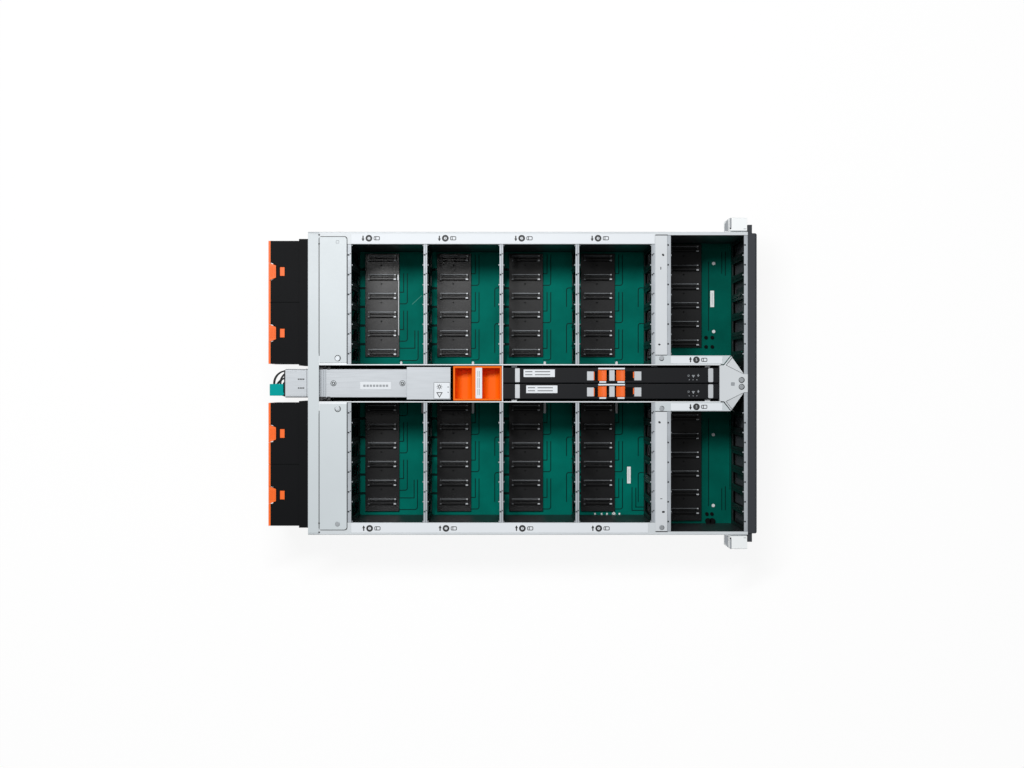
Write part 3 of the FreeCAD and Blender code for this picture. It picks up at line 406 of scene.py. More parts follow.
dress(fan_black, "fan_bay_frames", *["fan_housing_%d" % n for n in fans])
dress(rotor_black, *["fan_rotor_%d" % n for n in fans])
dress(bezel_grey, "bezel")
dress(release_orange, *["fan_face_%d" % n for n in fans], *["fan_latch_%d" % n for n in fans])
dress(release_orange, *["io_latch_%s_%d" % (end, n) for end in ("front", "rear") for n in pair])
dress(carrier_orange, "lift_carrier")
dress(pad_teal, "psu_latch_1", "psu_latch_2")
dress(supply_black, "psu_rear_1", "psu_rear_2")
dress(module_black, "io_case_1", "io_case_2")
print("mouldings dressed")

# %% [markdown]
# Small flat pieces come next, and a few helpers make them all. A plate starts
# as a cube of its real size, its upright edges are bevelled round in edit
# mode, and its top gets a fine chamfer. Sizes are in millimetres here,
# because that is how a label or a clip is specified, and only the helpers
# turn them into metres. The six thicknesses are of a label, of a track or a
# ring, of a small stamp and of films of paint and ink.

# %% Helpers for small pieces
MM = 0.001
LOW_LABEL = 0.12
COPPER = 0.1
STAMP = 0.08
FILM = 0.06
HAIRLINE = 0.05
PRINT = 0.04


def clear():
    """Nothing selected and no edit mode, before an operator acts."""
    if bpy.context.mode != "OBJECT":
        bpy.ops.object.mode_set(mode="OBJECT")
    bpy.ops.object.select_all(action="DESELECT")


def only(piece):
    clear()
    piece.select_set(True)
    bpy.context.view_layer.objects.active = piece


def pick_edges(piece, wanted):
    """Edit mode with just the edges selected whose two ends pass a test."""
    only(piece)
    bpy.ops.object.mode_set(mode="EDIT")
    bpy.ops.mesh.select_mode(type="EDGE")
    bpy.ops.mesh.select_all(action="DESELECT")
    bpy.ops.object.mode_set(mode="OBJECT")
    for edge in piece.data.edges:
        a, b = (piece.data.vertices[i].co for i in edge.vertices)
        edge.select = wanted(a, b)
    bpy.ops.object.mode_set(mode="EDIT")


def plate(name, x0, x1, y0, y1, z0, z1, corner=0.0, chamfer=0.0):
    """A flat block between two corners, in millimetres, with rounded upright edges."""
    clear()
    centre = [(x0 + x1) / 2 * MM, (y0 + y1) / 2 * MM, (z0 + z1) / 2 * MM]
    size = [(x1 - x0) * MM, (y1 - y0) * MM, (z1 - z0) * MM]
    bpy.ops.mesh.primitive_cube_add(size=1, location=centre, scale=size)
    piece = bpy.context.object
    piece.name = name
    bpy.ops.object.transform_apply(location=True, rotation=True, scale=True)
    if corner:
        pick_edges(piece, lambda a, b: abs(a.z - b.z) > size[2] / 2)
        bpy.ops.mesh.bevel(offset=corner * MM, segments=4, affect="EDGES")
        bpy.ops.object.mode_set(mode="OBJECT")
    if chamfer:
        top = z1 * MM - 1e-6
        pick_edges(piece, lambda a, b: a.z > top and b.z > top)
        bpy.ops.mesh.bevel(offset=chamfer * MM, segments=2, affect="EDGES")
        bpy.ops.object.mode_set(mode="OBJECT")
    return piece


def disc(name, x, y, z0, z1, radius, sides=24, hole=0.0):
    """A round plate, with a hole where one is asked for."""
    clear()
    bpy.ops.mesh.primitive_circle_add(
        vertices=sides, radius=radius * MM, fill_type="NGON", location=(x * MM, y * MM, z0 * MM))
    piece = bpy.context.object
    piece.name = name
    bpy.ops.object.transform_apply(location=True, rotation=True, scale=True)
    bpy.ops.object.mode_set(mode="EDIT")
    bpy.ops.mesh.select_all(action="SELECT")
    if hole:
        bpy.ops.mesh.inset(thickness=(radius - hole) * MM)
        bpy.ops.mesh.delete(type="FACE")
        bpy.ops.mesh.select_all(action="SELECT")
    bpy.ops.mesh.extrude_region_move(TRANSFORM_OT_translate={"value": (0, 0, (z1 - z0) * MM)})
    bpy.ops.mesh.select_all(action="SELECT")
    bpy.ops.mesh.normals_make_consistent(inside=False)
    bpy.ops.object.mode_set(mode="OBJECT")
    return piece


def joined(name, pieces):
    """Several small pieces as one object."""
    clear()
    for piece in pieces:
        piece.select_set(True)
    bpy.context.view_layer.objects.active = pieces[0]
    if len(pieces) > 1:
        bpy.ops.object.join()
    pieces[0].name = name
    return pieces[0]


def copies(piece, places):
    """Copies of a piece, each with its own mesh, moved by (x, y, z) in millimetres."""
    out = []
    for place in places:
        twin = piece.copy()
        twin.data = piece.data.copy()
        bpy.context.collection.objects.link(twin)
        twin.data.transform(Matrix.Translation([v * MM for v in place]))
        out.append(twin)
    return out


def settle(piece, material, body="root"):
    """Give a finished piece its material and the body that carries it."""
    piece.data.materials.clear()
    piece.data.materials.append(material)
    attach(piece, body)


print("helpers ready")

# %% [markdown]
# The levels of the top plates and the places of the rows are read from the
# solids, so a label stays on its plate if a height changes. The drives' own
# pitch and first place are those of the solids. The first bay wall has ribs on
# one side only, so its middle is measured from its plain face. What repeats
# with the drives is drawn in the upper half of the picture first, and
# LOWER_HALF takes it to the lower half.

# %% Levels and places from the frame
def edge_mm(name, axis, high):
    """One face of a node's box, in millimetres."""
    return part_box(name)[1 if high else 0][axis] / MM


RIM_TOP = edge_mm("side_wall_left", 2, True)
COVER_TOP = edge_mm("rear_covers", 2, True)
MODULE_TOP = edge_mm("io_case_1", 2, True)
BOARD_TOP = 8.4
SOCKET_TOP = edge_mm("drive_sockets_row_1", 2, True)
WALL_TOP = edge_mm("bay_wall_2", 2, True)
HALF_WALL = 2.7
wall_x = [(edge_mm("bay_wall_%d" % n, 0, False) + edge_mm("bay_wall_%d" % n, 0, True)) / 2
          for n in rows]
wall_x[0] = edge_mm("bay_wall_1", 0, False) + HALF_WALL
DRIVE_PITCH = 28.8
DRIVES = 6
FIRST_DRIVE = 43.05
LOWER_HALF = -2 * FIRST_DRIVE - 5 * DRIVE_PITCH
HALVES = (0.0, LOWER_HALF)
REAR_ROWS = range(4)
print("rim at", round(RIM_TOP, 1), "modules at", round(MODULE_TOP, 1))

# %% [markdown]
# Each side rim carries one long white label with a mark for every row: an
# arrow, a ring with the row's number and the outline of a drive. The fifth
# row's marks are on two short labels of their own, in filled rings. The
# photo's marks are replaced by plain ones of the same size. They are cut from
# thin sheet, since ink that lies in the label's own plane would flicker.

# %% Label paper and ink
label_paper = finish("label_paper", linear(226, 231, 236), rough=0.5, mottle=0.012, grain=1600,
                     wear=1.0)
label_ink = finish("label_ink", linear(22, 24, 27), rough=0.55, mottle=0.08, grain=2400, wear=1.0)
grey_ink = finish("grey_ink", linear(150, 155, 160), rough=0.55, mottle=0.06, grain=2400, wear=1.0)


def arrow(x, y, z, tall, wide, way=1):
    """A bar with a pointed head, along Y."""
    bar = plate("bar", x - wide * 0.28, x + wide * 0.28, y - tall / 2, y + tall / 2, z,
                z + LOW_LABEL)
    clear()
    head_y = y + way * tall * 0.24
    bpy.ops.mesh.primitive_circle_add(
        vertices=3, radius=wide * 0.8 * MM, fill_type="NGON",
        location=(x * MM, head_y * MM, z * MM))
    head = bpy.context.object
    if way < 0:
        head.rotation_euler.z = math.pi
    bpy.ops.object.transform_apply(location=True, rotation=True, scale=True)
    bpy.ops.object.mode_set(mode="EDIT")
    bpy.ops.mesh.select_all(action="SELECT")
    bpy.ops.mesh.extrude_region_move(TRANSFORM_OT_translate={"value": (0, 0, LOW_LABEL * MM)})
    bpy.ops.object.mode_set(mode="OBJECT")
    return joined("arrow", [bar, head])


def frame_plate(name, x0, x1, y0, y1, z, line, corner):
    """A thin rounded outline: a plate with its middle inset and removed."""
    piece = plate(name, x0, x1, y0, y1, z, z + LOW_LABEL, corner)
    only(piece)
    bpy.ops.object.mode_set(mode="EDIT")
    bpy.ops.mesh.select_mode(type="FACE")
    bpy.ops.mesh.select_all(action="DESELECT")
    bpy.ops.object.mode_set(mode="OBJECT")
    for face in piece.data.polygons:
        face.select = abs(face.normal.z) > 0.9
    bpy.ops.object.mode_set(mode="EDIT")
    bpy.ops.mesh.inset(thickness=line * MM)
    bpy.ops.mesh.bridge_edge_loops()
    bpy.ops.object.mode_set(mode="OBJECT")
    return piece


def digit(number, x, y, z, tall):
    """A plain figure as a thin mesh, centred on a place."""
    clear()
    bpy.ops.object.text_add(location=(0, 0, 0))
    text = bpy.context.object
    text.data.body = str(number)
    text.data.align_x = "CENTER"
    text.data.align_y = "CENTER"
    text.data.size = tall * 1.35 * MM
    text.data.extrude = LOW_LABEL / 2 * MM
    text.data.resolution_u = 3
    bpy.ops.object.convert(target="MESH")
    text = bpy.context.object
    text.data.transform(Matrix.Translation((x * MM, y * MM, (z + LOW_LABEL / 2) * MM)))
    return text


def row_mark(number, x, y, way, filled):
    """The arrow, the numbered ring and the drive outline of one row, and the figure apart."""
    z = RIM_TOP + LOW_LABEL
    ring_x = x + 4.0
    hole, tall = (0.0, 4.4) if filled else (2.1, 3.2)
    marks = [
        arrow(x - 4.6, y, z, 7.2, 3.2, way),
        disc("ring", ring_x, y, z, z + LOW_LABEL, 4.9, 28, hole),
        frame_plate("drive", x + 11.0, x + 19.8, y - 2.9, y + 2.9, z, 1.0, 1.6),
        plate("contact", x + 13.5, x + 14.5, y - 2.5, y + 2.5, z, z + LOW_LABEL)]
    return marks, digit(number, ring_x, y, z + LOW_LABEL if filled else z, tall)


def rim_paper(x0, x1, inner, outer, corner):
    """A paper label on a rim, between two distances from the middle line."""
    low, high = sorted((inner, outer))
    return plate("label", x0, x1, low, high, RIM_TOP, RIM_TOP + LOW_LABEL, corner)


LABEL_START = -235.0
MARK_START = -213.0
MARK_PITCH = 111.2
ink_pieces = []
paper_pieces = []
white_figures = []
for side, label_end, mark_shift in ((1, 207.2, 0.0), (-1, 197.4, 1.0)):
    paper_pieces.append(rim_paper(LABEL_START, label_end, side * 203.4, side * 217.6, 0.8))
    for i in REAR_ROWS:
        x = MARK_START + i * MARK_PITCH + mark_shift
        marks, figure = row_mark(i + 1, x, side * 211.2, -side, False)
        ink_pieces += marks + [figure]
    paper_pieces.append(rim_paper(230.5, 305.8, side * 28.9, side * 39.4, 0.4))
    marks, figure = row_mark(5, 263.8, side * 34.2, side, True)
    ink_pieces += marks
    white_figures.append(figure)
settle(joined("row_labels", paper_pieces), label_paper)
settle(joined("row_marks", ink_pieces), label_ink)
settle(joined("row_five_figures", white_figures), label_paper)
print("row labels:", len(paper_pieces))

# %% [markdown]
# The inks and metals of the small pieces: silver for the spring tabs and
# contact tips, and for a painted highlight on the first strip's edge, grey for
# the sockets' lips, a dead black for slots, a dark green for the copper under
# the solder mask and a light one where the mask is thin, a darker grey that is
# a painted shade at the end of the supplies' cover, and a pale one for the pins.

# %% Small-piece finishes
tab_silver = finish("tab_silver", linear(190, 194, 198), rough=0.4, metallic=0.2, mottle=0.06,
                    grain=1800, wear=1.1)
lip_grey = finish("lip_grey", linear(94, 98, 102), rough=0.4, metallic=0.3, mottle=0.1, grain=2200,
                  wear=1.3)
slot_black = finish("slot_black", linear(10, 11, 12), rough=0.6, mottle=0.1, grain=2200,
                    shine=0.05)
trace_dark = finish("trace_dark", linear(0, 38, 35), rough=0.45, mottle=0.1, grain=2400,
                    shine=0.05)
mask_thin = finish("mask_thin", linear(96, 176, 160), rough=0.45, mottle=0.1, grain=2400,
                   shine=0.1)
# A darker copy of the cage's grey, a painted shade.
cage_painted_shade = finish("cage_painted_shade", linear(168, 174, 180), rough=0.45, metallic=0.15, mottle=0.05,
                    grain=1400, wear=1.1)
post_white = finish("post_white", linear(225, 229, 232), rough=0.4, mottle=0.03, grain=1800,
                    wear=1.03)


def flat(x0, x1, y0, y1, z, corner=0.0, thick=LOW_LABEL):
    """A thin plate that lies on a level."""
    low, high = sorted((y0, y1))
    return plate("flat", min(x0, x1), max(x0, x1), low, high, z, z + thick, corner)


def spot(x, y, z, radius, thick=LOW_LABEL, hole=0.0):
    """A thin round mark that lies on a level."""
    return disc("spot", x, y, z, z + thick, radius, 16, hole)


def lay(name, pieces, material, body="root"):
    """Join pieces of one finish and give them to a body."""
    settle(joined(name, pieces), material, body)


print("small-piece finishes ready")

# %% [markdown]
# Every drive socket shows a grey metal lip along its upper side, two black
# slots and bright contact tips at its right end. These are modelled once, on
# the first socket of the first row, and copied to the other fifty-nine
# places. The lip is a slim plate: it could be a bevel on the solid, but it is
# a separate metal shell. The front row's sockets lie half a drive further
# out. Dimples mark the strips between the sockets, and an end piece makes
# each lower strip as long as the photograph shows it.

# %% Drive sockets
SOCKET_HALF = 22.0
SOCKET_SHIFT = 5.4
SHELL_TOP = SOCKET_TOP - 1.6
STRIP_HALF = 26.1
STRIP_TOP = 13.4
STRIP_END = 8.0
FRONT_SHIFT = 14.4
row_x = [edge_mm("drive_sockets_row_%d" % n, 0, False) + STRIP_HALF for n in rows]
first_x = row_x[0]
first_y = FIRST_DRIVE + SOCKET_SHIFT
lips = [
    flat(first_x - 19.2, first_x + 18.4, first_y + 2.9, first_y + 4.3, SHELL_TOP),
    flat(first_x - SOCKET_HALF + 0.6, first_x - 19.6, first_y + 2.7, first_y + 4.4, SHELL_TOP),
    flat(first_x - SOCKET_HALF + 0.2, first_x - 19.0, first_y - 4.5, first_y - 2.6, SOCKET_TOP)]
tips = [
    flat(first_x + 18.0, first_x + SOCKET_HALF - 0.3, first_y - 4.6, first_y - 2.5, SOCKET_TOP),
    flat(first_x + 18.8, first_x + SOCKET_HALF - 0.6, first_y + 2.7, first_y + 4.4, SHELL_TOP)]
slots = [
    flat(first_x - 18.5, first_x + 18.5, first_y - 0.8, first_y + 0.1, SHELL_TOP, thick=FILM),
    flat(first_x - 18.5, first_x + 18.5, first_y - 4.7, first_y - 3.7, SHELL_TOP, thick=FILM)]
lip = joined("lip", lips)
tip = joined("tip", tips)
slot = joined("slot", slots)
dimple = spot(first_x - 1.2, first_y + 18.3 - DRIVE_PITCH, STRIP_TOP, 1.3, FILM)
places = []
between = []
for x in row_x:
    for side, half in ((1, 0.0), (-1, LOWER_HALF)):
        shift = side * FRONT_SHIFT if x == row_x[4] else 0.0
        for i in range(DRIVES):
            places.append((x - first_x, half + i * DRIVE_PITCH + shift, 0))
            if i:
                between.append(places[-1])
moved = places[1:]
lay("socket_lips", [lip] + copies(lip, moved), lip_grey)
lay("socket_tips", [tip] + copies(tip, moved), tab_silver)
lay("socket_slots", [slot] + copies(slot, moved), slot_black)
dimples = copies(dimple, between)
bpy.data.objects.remove(dimple)
lay("strip_dimples", dimples, slot_black)
# A silver line on the first strip's right edge is a painted highlight.
edge_painted_highlight = flat(first_x + STRIP_HALF - 1.3, first_x + STRIP_HALF - 0.3, 74, 166, STRIP_TOP)
upright_tab = flat(first_x + STRIP_HALF - 2.6, first_x + STRIP_HALF - 0.2, 159, 167.5, STRIP_TOP,
                   0.6, 2.0)
lay("strip_edge_painted_highlight", [edge_painted_highlight], tab_silver)
lay("strip_tab", [upright_tab], tab_silver)
ends = []
for n, x in zip(rows, row_x):
    low = edge_mm("drive_sockets_row_%d" % n, 1, False)
    ends.append(flat(x - STRIP_HALF, x + STRIP_HALF, low - STRIP_END, low, BOARD_TOP,
                     thick=STRIP_TOP - BOARD_TOP))
lay("strip_ends", ends, socket_black)
print("sockets dressed:", len(places))

# %% [markdown]
# On the rear board, pairs of dark tracks leave the strips and turn a corner.
# A track is an outline cut by two planes, so its corner stays round. To the
# left of each strip the board is crossed by a dark bar between the drives.
# Single tracks come in from the right, and the first row has two wider pairs.

# %% Board tracks
TRACK = 1.3
FIRST_ROW_LIFT = 29.0


def track(x0, y0, wide, tall, corner):
    """An L-shaped track with a rounded corner at its lower right."""
    piece = frame_plate("track", x0 - wide, x0 + wide, y0, y0 + 2 * tall, BOARD_TOP, TRACK, corner)
    for point, normal in (((x0, y0, 0), (1, 0, 0)), ((x0, y0 + tall, 0), (0, -1, 0))):
        only(piece)
        bpy.ops.object.mode_set(mode="EDIT")
        bpy.ops.mesh.select_all(action="SELECT")
        bpy.ops.mesh.bisect(plane_co=[v * MM for v in point], plane_no=normal, clear_inner=True,
                            use_fill=True)
        bpy.ops.object.mode_set(mode="OBJECT")
    return piece


def track_pair(x0, y0):
    """An outer track with a rounded corner and a shorter inner one."""
    return [track(x0, y0, 12.9, 47.8, 4.0), track(x0, y0 + 17.9, 7.2, 30.0, 0.6)]


tracks = []
first_pair = joined("tracks", track_pair(row_x[1] + STRIP_HALF, 35.5))
for n in REAR_ROWS:
    lift = FIRST_ROW_LIFT if n == 0 else 0.0
    for low in HALVES:
        for i in range(3):
            place = (row_x[n] - row_x[1], low + lift + i * 2 * DRIVE_PITCH, 0)
            if n or low or i < 2:
                tracks += copies(first_pair, [place])
bpy.data.objects.remove(first_pair)
half_turn = Matrix.Rotation(math.pi, 4, "Z")
for n in (1, 2, 3):
    for low in HALVES:
        for y, tall in ((93.0, 46.0), (148.0, 30.0)):
            piece = track(0, 0, 9.0, tall, 4.0)
            place = ((row_x[n] + 71.0) * MM, (y + low) * MM, 0)
            piece.data.transform(Matrix.Translation(place) @ half_turn)
            tracks.append(piece)
for y, wide, tall, corner in ((34.6, 29.6, 47.0, 5.0), (53.6, 24.6, 28.0, 0.6),
                              (-195.5, 28.6, 47.0, 5.0), (-177.5, 23.4, 28.6, 0.6)):
    tracks.append(track(row_x[0] + STRIP_HALF, y, wide, tall, corner))
lay("board_tracks", tracks, trace_dark)
bars = []
for n in REAR_ROWS:
    for low in HALVES:
        for i in range(DRIVES - 1):
            y = first_y + 12.0 + low + i * DRIVE_PITCH
            bars.append(flat(row_x[n] - STRIP_HALF - 8.0, row_x[n] - STRIP_HALF, y - 1.9, y + 1.9,
                             BOARD_TOP))
lay("board_bars", bars, trace_dark)
scratch = flat(-10.5, 10.5, -0.3, 0.3, BOARD_TOP)
scratch_turn = Matrix.Rotation(math.radians(42.6), 4, "Z")
scratch.data.transform(Matrix.Translation((-0.1472, 0.1290, 0)) @ scratch_turn)
lay("board_scratch", [scratch], mask_thin)
print("tracks:", len(tracks), "bars:", len(bars))

# %% [markdown]
# White locating pins lie on the board at the foot of the channel walls in the
# rear rows. Each is a flat bar with a round end. They are longer below the
# channel than above it, as in the photograph, and the first one there lies
# aside.

# %% Locating pins
CHANNEL_FACE = 26.6
PIN_HALF = 1.9
FIRST_PIN_ASIDE = 33.0
pins = []
for n in REAR_ROWS:
    x = row_x[n] + STRIP_HALF + 3.0
    for end in (34.0, -46.5):
        start = CHANNEL_FACE if end > 0 else -CHANNEL_FACE
        low, high = sorted((start, end))
        pin_x = x + (FIRST_PIN_ASIDE if n == 0 and end < 0 else 0.0)
        pins.append(plate("pin", pin_x - PIN_HALF, pin_x + PIN_HALF, low, high, BOARD_TOP,
                          BOARD_TOP + 3.4, 1.8, 0.5))
lay("locating_pins", pins, post_white)
print("pins:", len(pins))

# %% [markdown]
# The two module lids carry spring tabs, a label with plain lines, the frame
# of the pads' window and plain state icons. All of it is laid out from the
# lid's own middle line, so the second module is the first one moved over, but
# for its label, which the photograph shows further in.

# %% Module lids
MODULE_PITCH = edge_mm("io_case_1", 1, False) - edge_mm("io_case_2", 1, False)
lid_y = (edge_mm("io_case_1", 1, False) + edge_mm("io_case_1", 1, True)) / 2
lid = MODULE_TOP
LID_LABEL_X = 16.2
LID_LABEL_SHIFT = 3.8
for number, body in ((1, "io_module_1"), (2, "io_module_2")):
    y = lid_y - (number - 1) * MODULE_PITCH
    label_x = LID_LABEL_X + (number - 1) * LID_LABEL_SHIFT
    silver = [
        flat(3.8, 10.7, y - 10.0, y + 10.2, lid, 0.8, 0.6),
        flat(285.3, 292.6, y - 10.0, y + 10.2, lid, 1.6, 0.6),
        flat(108.7, 118.4, y - 7.4, y + 5.6, lid, 0.3, 0.5),
        flat(177.7, 187.8, y - 7.4, y + 5.6, lid, 0.3, 0.5),
        flat(141.2, 148.9, y - 8.0, y + 7.4, lid - 0.02, 0.2, 0.3)]
    lay("lid_tabs_%d" % number, silver, tab_silver, body)
    pale = [
        flat(label_x, label_x + 45.6, y - 2.6, y + 8.6, lid, 0.4),
        flat(125.0, 163.9, y + 8.6, y + 10.9, lid),
        flat(126.6, 136.6, y - 10.9, y - 8.6, lid),
        flat(153.0, 163.4, y - 10.9, y - 8.6, lid)]
    lay("lid_labels_%d" % number, pale, label_paper, body)
    dark = [
        flat(119.0, 124.0, y - 8.0, y + 6.0, lid, 0.2),
        flat(164.8, 175.7, y - 8.0, y + 6.0, lid, 0.2)]
    for i in range(2):
        line_y = y + 0.3 + i * 4.4
        for j, share in enumerate((0.26, 0.36, 0.2)):
            start = label_x + 2.4 + j * 14.2
            dark.append(flat(start, start + 40 * share, line_y, line_y + 1.0, lid + LOW_LABEL,
                             thick=PRINT))
    lay("lid_slots_%d" % number, dark, slot_black, body)
    slivers = [
        flat(118.4, 119.6, y - 7.0, y + 5.0, lid, thick=0.3),
        flat(175.8, 177.3, y - 4.0, y + 5.0, lid, thick=0.3)]
    lay("lid_slivers_%d" % number, slivers, release_orange, body)
    icons = [spot(256.7, y - 0.6, lid, 1.5, hole=0.9)]
    down = arrow(263.7, y - 0.6, lid, 2.0, 3.4, -1)
    up = arrow(270.9, y - 0.6, lid, 3.0, 2.6, 1)
    icons += [down, up] + [spot(x, y - 6.6, lid, 0.7) for x in (257.7, 263.3, 268.8)]
    lay("lid_icons_%d" % number, icons, grey_ink, body)
print("lids dressed at", round(lid, 1), "mm")

# %% [markdown]
# The covers over the power supplies and over the power board carry a label
# each, with plain dashes on the one and two plain safety icons on the other.
# Dark rings mark the two screws, and the dark hooks at the cover's end hold it
# to the cage. The carrier's pinch rib has a label of its own.

# %% Channel covers and carrier
SUPPLY_COVER_TOP = 161.8
BOARD_COVER_TOP = edge_mm("channel_covers", 2, True)
CARRIER_TOP = edge_mm("lift_carrier", 2, True)
SCREW_HEAD = 1.2
SUN_RAYS = 8
cover_x0 = edge_mm("channel_covers", 0, False)
rings = []
for x in (cover_x0 + 11.5, cover_x0 + 112.4):
    rings.append(spot(x, 0, SUPPLY_COVER_TOP, 4.3, COPPER, hole=3.6))
    rings.append(spot(x, 0, SUPPLY_COVER_TOP + SCREW_HEAD, 2.5, FILM, hole=1.2))
papers = [
    flat(-223.0, -177.5, 2.2, -8.6, SUPPLY_COVER_TOP, 0.4),
    flat(-114.4, -91.0, 1.2, -22.6, BOARD_COVER_TOP, 0.8)]
lay("cover_labels", papers, label_paper)
dashes = []
for i in range(8):
    x = -218.2 + i * 4.7
    dashes.append(flat(x, x + 3.4, -5.2, -1.9, SUPPLY_COVER_TOP + LOW_LABEL, thick=PRINT))
lay("supply_label_dashes", dashes, grey_ink)
sun_x, sun_y = -106.4, -5.1
icon_z = BOARD_COVER_TOP + LOW_LABEL
icons = [spot(sun_x, sun_y, icon_z, 2.3, hole=1.3)]
for i in range(SUN_RAYS):
    ray = flat(2.7, 4.1, -0.4, 0.4, icon_z)
    turn = Matrix.Rotation(i * 2 * math.pi / SUN_RAYS, 4, "Z")
    ray.data.transform(Matrix.Translation((sun_x * MM, sun_y * MM, 0)) @ turn)
    icons.append(ray)
warning = disc("warning", 0, 0, icon_z, icon_z + LOW_LABEL, 5.4, 3, hole=4.3)
warning.data.transform(Matrix.Translation((sun_x * MM, -15.7 * MM, 0)) @ half_turn)
icons.append(warning)
icons.append(frame_plate("border", -114.7, -90.8, -22.9, 1.5, BOARD_COVER_TOP + 0.01, 0.5, 0.9))
icons += [spot(-93.8, y, icon_z, 0.8) for y in (-5.4, -13.1)]
hooks = []
for y0, y1 in ((27.1, 20.1), (-19.5, -25.0)):
    for x0, x1 in ((-282.1, -276.7), (-271.4, -266.1)):
        hooks.append(flat(x0, x1, y0, y1, SUPPLY_COVER_TOP, 1.2, 0.5))
    middle = (y0 + y1) / 2
    hooks.append(flat(-277.5, -270.2, middle - 1.2, middle + 1.2, SUPPLY_COVER_TOP, 0.3, 0.5))
lay("cover_marks", icons + rings + hooks, label_ink)
rib_label = flat(-53.8, -44.2, 22.9, -22.0, CARRIER_TOP, 0.8)
lay("rib_label", [rib_label], label_paper, "lift_carrier")
rib_lines = []
for x in (-50.9, -48.6):
    for y0, y1 in ((18.0, 9.2), (7.8, -6.8), (-8.3, -17.1)):
        rib_lines.append(flat(x, x + 0.8, y0, y1, CARRIER_TOP + LOW_LABEL, thick=PRINT))
lay("rib_marks", rib_lines, grey_ink, "lift_carrier")
print("covers dressed")

# %% [markdown]
# The apex plate, the partitions, the bay walls and the rear covers are plain
# sheets, so their small marks tell them apart: bare stamps, screws in dark
# rings, the latch holes on the walls' tops and the folds. A fold is a hairline
# on the sheet, and a dark hairline around each cover is a painted shade for
# the gap there.

# %% Sheet marks
APEX_TOP = edge_mm("front_apex", 2, True)
PLATE_TOP = edge_mm("partition_plates", 2, True)
LATCH_ASIDE = 1.6
ring_marks = []
heads = []
for x, y in ((333.7, 4.8), (333.7, -5.1)):
    ring_marks.append(spot(x, y, APEX_TOP, 4.4, COPPER, hole=3.5))
for side in (1, -1):
    start = Vector((311.1 * MM, side * 26.3 * MM, 0))
    for end in (Vector((322.6 * MM, side * 41.3 * MM, 0)),
                Vector((336.5 * MM, side * 13.6 * MM, 0))):
        way = end - start
        line = flat(0, way.length / MM, -0.25, 0.25, APEX_TOP, thick=FILM)
        turn = Matrix.Rotation(math.atan2(way.y, way.x), 4, "Z")
        line.data.transform(Matrix.Translation(start) @ turn)
        ring_marks.append(line)
for x, y, radius in ((219.6, 186.7, 1.5), (214.4, -57.0, 1.5), (220.4, -187.2, 1.5)):
    ring_marks.append(spot(x, y, PLATE_TOP, radius, STAMP))
for x, y in ((217.2, 35.9), (217.6, -36.3), (217.7, -210.0)):
    heads.append(spot(x, y, PLATE_TOP, 2.6, 0.8))
    ring_marks.append(spot(x, y, PLATE_TOP, 3.5, COPPER, hole=2.7))
for x, y in ((214.2, 56.3), (216.6, -168.1)):
    ring_marks.append(flat(x - 1.6, x + 1.6, y - 0.5, y + 0.5, PLATE_TOP, thick=STAMP))
ring_marks.append(flat(215.4, 216.6, 169.6, 165.5, PLATE_TOP, 0.2, STAMP))
for side in (1, -1):
    ring_marks.append(flat(208.4, 226.2, side * 216.6, side * 215.7, PLATE_TOP, thick=HAIRLINE))
stamp = frame_plate("stamp", -257.0, -252.3, 203.7, 208.0, COVER_TOP, 0.5, 0.6)
apex_mark = flat(318.1, 323.6, 1.6, -3.6, APEX_TOP, 1.0, FILM)
lay("sheet_stamps", [stamp, apex_mark], grey_ink)
for y in (36.6, -37.3):
    ring_marks.append(spot(-254.3, y, COVER_TOP, 4.6, FILM, hole=3.5))
# A dark outline around each rear cover is a painted shade for the gap at its edge.
for side in (1, -1):
    low, high = sorted((side * 40.4, side * 214.1))
    ring_marks.append(frame_plate("gap", -282.2, -240.3, low, high, RIM_TOP + 0.02, 1.7, 4.0))
for y in (216.2, 203.1, -203.6, -216.7):
    ring_marks.append(flat(-282.6, -280.3, y - 0.9, y + 0.9, COVER_TOP, 0.3, HAIRLINE))
folds = []
for x in wall_x[1:]:
    for low, high in ((28.0, 202.6), (-202.6, -28.0)):
        folds.append(flat(x - 0.1, x + 0.4, low, high, WALL_TOP, thick=HAIRLINE))
lay("wall_folds", folds, lip_grey)
for x in wall_x:
    for i in range(DRIVES):
        for low in HALVES:
            y = FIRST_DRIVE + i * DRIVE_PITCH + LATCH_ASIDE + low
            ring_marks.append(spot(x + 1.4, y, WALL_TOP, 0.9, FILM))
lay("sheet_marks_and_painted_shade", ring_marks, label_ink)
lay("sheet_screws", heads, bolt_steel)
print("sheet marks:", len(ring_marks), "screws:", len(heads))

# %% [markdown]
# On the front board stand four screws, a label and round dark parts in pairs.
# They are components of the board, too small for the solid model. The fourth
# row's part of the rear board has a label too, with a row of pale signs, and
# both boards have a few straight tracks.

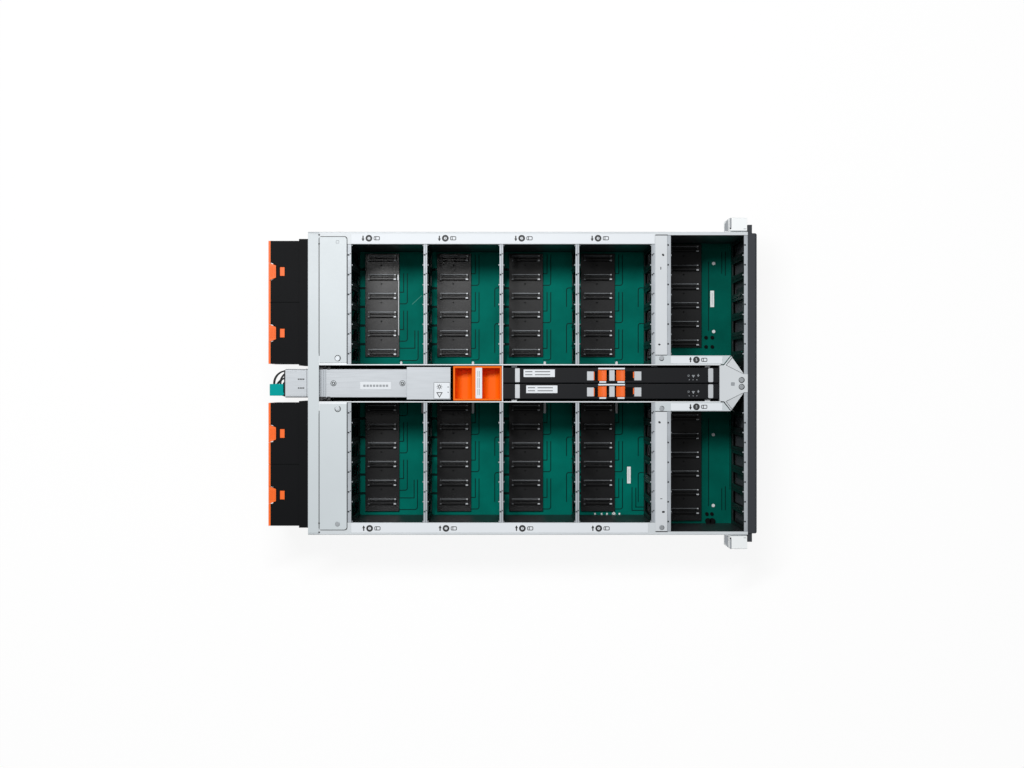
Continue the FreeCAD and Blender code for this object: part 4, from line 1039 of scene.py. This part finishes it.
# %% Front board
board_screws = [spot(x, y, BOARD_TOP, 2.6, 1.2) for x, y in
                ((310.5, 185.0), (310.5, 79.9), (310.1, -79.1), (309.9, -188.5))]
lay("board_screws", board_screws, post_white)
board_label = flat(305.3, 311.3, 143.1, 117.7, BOARD_TOP, 0.3)
lay("front_board_label", [board_label], white_paint)
straight_tracks = []
round_parts = [spot(x, y, BOARD_TOP, 2.7, 3.0) for x, y in
               ((298.6, 70.7), (308.2, 70.7), (298.6, 56.4), (308.2, 56.4),
                (299.9, -201.4), (307.6, -201.4))]
round_parts += [spot(x, y, BOARD_TOP, 4.4, 6.0) for x, y in ((301.7, -212.2), (308.2, -212.2))]
for x, y0, y1 in ((302.0, 187.6, 80.9), (302.0, -53.6, -189.6), (322.4, -161.8, -195.8),
                  (328.0, -158.7, -195.8), (322.4, 203.1, 169.1), (328.0, 203.1, 166.0),
                  (335.1, -56.5, -164.1), (183.9, -160.2, -195.4), (189.8, -161.0, -191.6)):
    straight_tracks.append(flat(x, x + TRACK, y0, y1, BOARD_TOP, thick=COPPER))
for x, y in ((189.8, -191.6), (183.9, -196.7)):
    straight_tracks.append(flat(x, 206.0, y, y + TRACK, BOARD_TOP, thick=COPPER))
lay("front_tracks", straight_tracks, trace_dark)
lay("round_parts", round_parts, slot_black)
row_four = [flat(176.9, 182.6, -128.6, -154.5, BOARD_TOP, 0.3)]
for x in (126.1, 136.3, 144.6, 163.8):
    row_four.append(flat(x, x + 2.6, -202.6, -200.1, BOARD_TOP, 0.5))
row_four.append(arrow(156.4, -201.1, BOARD_TOP, 3.4, 4.6, 1))
lay("row_four_label", row_four, white_paint)
label_lines = [
    flat(308.0, 308.6, 139.6, 121.2, BOARD_TOP + LOW_LABEL, thick=PRINT),
    flat(179.4, 180.0, -132.2, -151.0, BOARD_TOP + LOW_LABEL, thick=PRINT)]
lay("board_label_lines", label_lines, grey_ink)
print("front board dressed")

# %% [markdown]
# Two rows of small bare marks and a seam sit on the cage behind the frame. A
# darker grey plate with three lines ends the cover of the supplies: its grey
# is a painted shade. The frame's flanges show their cut edges. The ears'
# housings get their grooves and a small well each, and a slanted grey plate
# on each is a painted shade on its flank: all are a few tenths deep, so thin
# plates do.

# %% Rear end and ears
CAGE_TOP = edge_mm("psu_cage", 2, True)
marks = []
for y in (6.0, -6.9):
    for i in range(4):
        x = -314.0 + i * 2.5
        marks.append(flat(x, x + 1.9, y - 1.0, y + 1.0, CAGE_TOP, 0.3, FILM))
marks.append(flat(-301.2, -300.7, 21.9, -20.9, CAGE_TOP, thick=FILM))
lay("cage_marks", marks, label_ink)
# A darker grey plate at the end of the supplies' cover, a painted shade.
cover_end_shade = flat(-282.5, -272.6, 20.4, -19.7, SUPPLY_COVER_TOP, 0.4, 0.4)
lay("cover_end_painted_shade", [cover_end_shade], cage_painted_shade)
cover_end_lines = [flat(x, x + 0.5, 19.2, -18.6, SUPPLY_COVER_TOP + 0.4, thick=HAIRLINE)
             for x in (-279.9, -276.7, -273.1)]
lay("cover_end_shade_lines", cover_end_lines, grey_ink)
edges = []
for side in (1, -1):
    edges.append(flat(-297.4, -281.6, side * 217.6, side * 219.8, RIM_TOP - 0.4, thick=0.4))
lay("flange_edges", edges, pale_coat)
grooves = []
painted_shade_flanks = []
wells = []
for side in (1, -1):
    grooves.append(flat(317.6, 341.2, side * 221.6, side * 222.3, RIM_TOP, thick=HAIRLINE))
    grooves.append(flat(316.8, 318.7, side * 224.4, side * 240.8, RIM_TOP, thick=HAIRLINE))
    # A grey plate that is a painted shade for the housing's slanted flank.
    painted_shade_flank = flat(308.8, 313.7, side * 221.7, side * 239.2, RIM_TOP)
    only(painted_shade_flank)
    bpy.ops.object.mode_set(mode="EDIT")
    bpy.ops.mesh.select_all(action="SELECT")
    bpy.ops.mesh.bisect(plane_co=(0.3088, side * 0.2318, 0), plane_no=(-0.83, side * 0.56, 0),
                        clear_outer=True, use_fill=True)
    bpy.ops.object.mode_set(mode="OBJECT")
    painted_shade_flanks.append(painted_shade_flank)
    wells.append(spot(317.6, side * 225.6, RIM_TOP + FILM, 1.1, HAIRLINE))
    grooves.append(flat(336.6, 340.4, side * 224.6, side * 225.4, RIM_TOP, thick=HAIRLINE))
lay("ear_grooves_and_painted_shade", grooves + painted_shade_flanks, grey_ink)
lay("ear_wells", wells, slot_black)
print("rear end dressed")
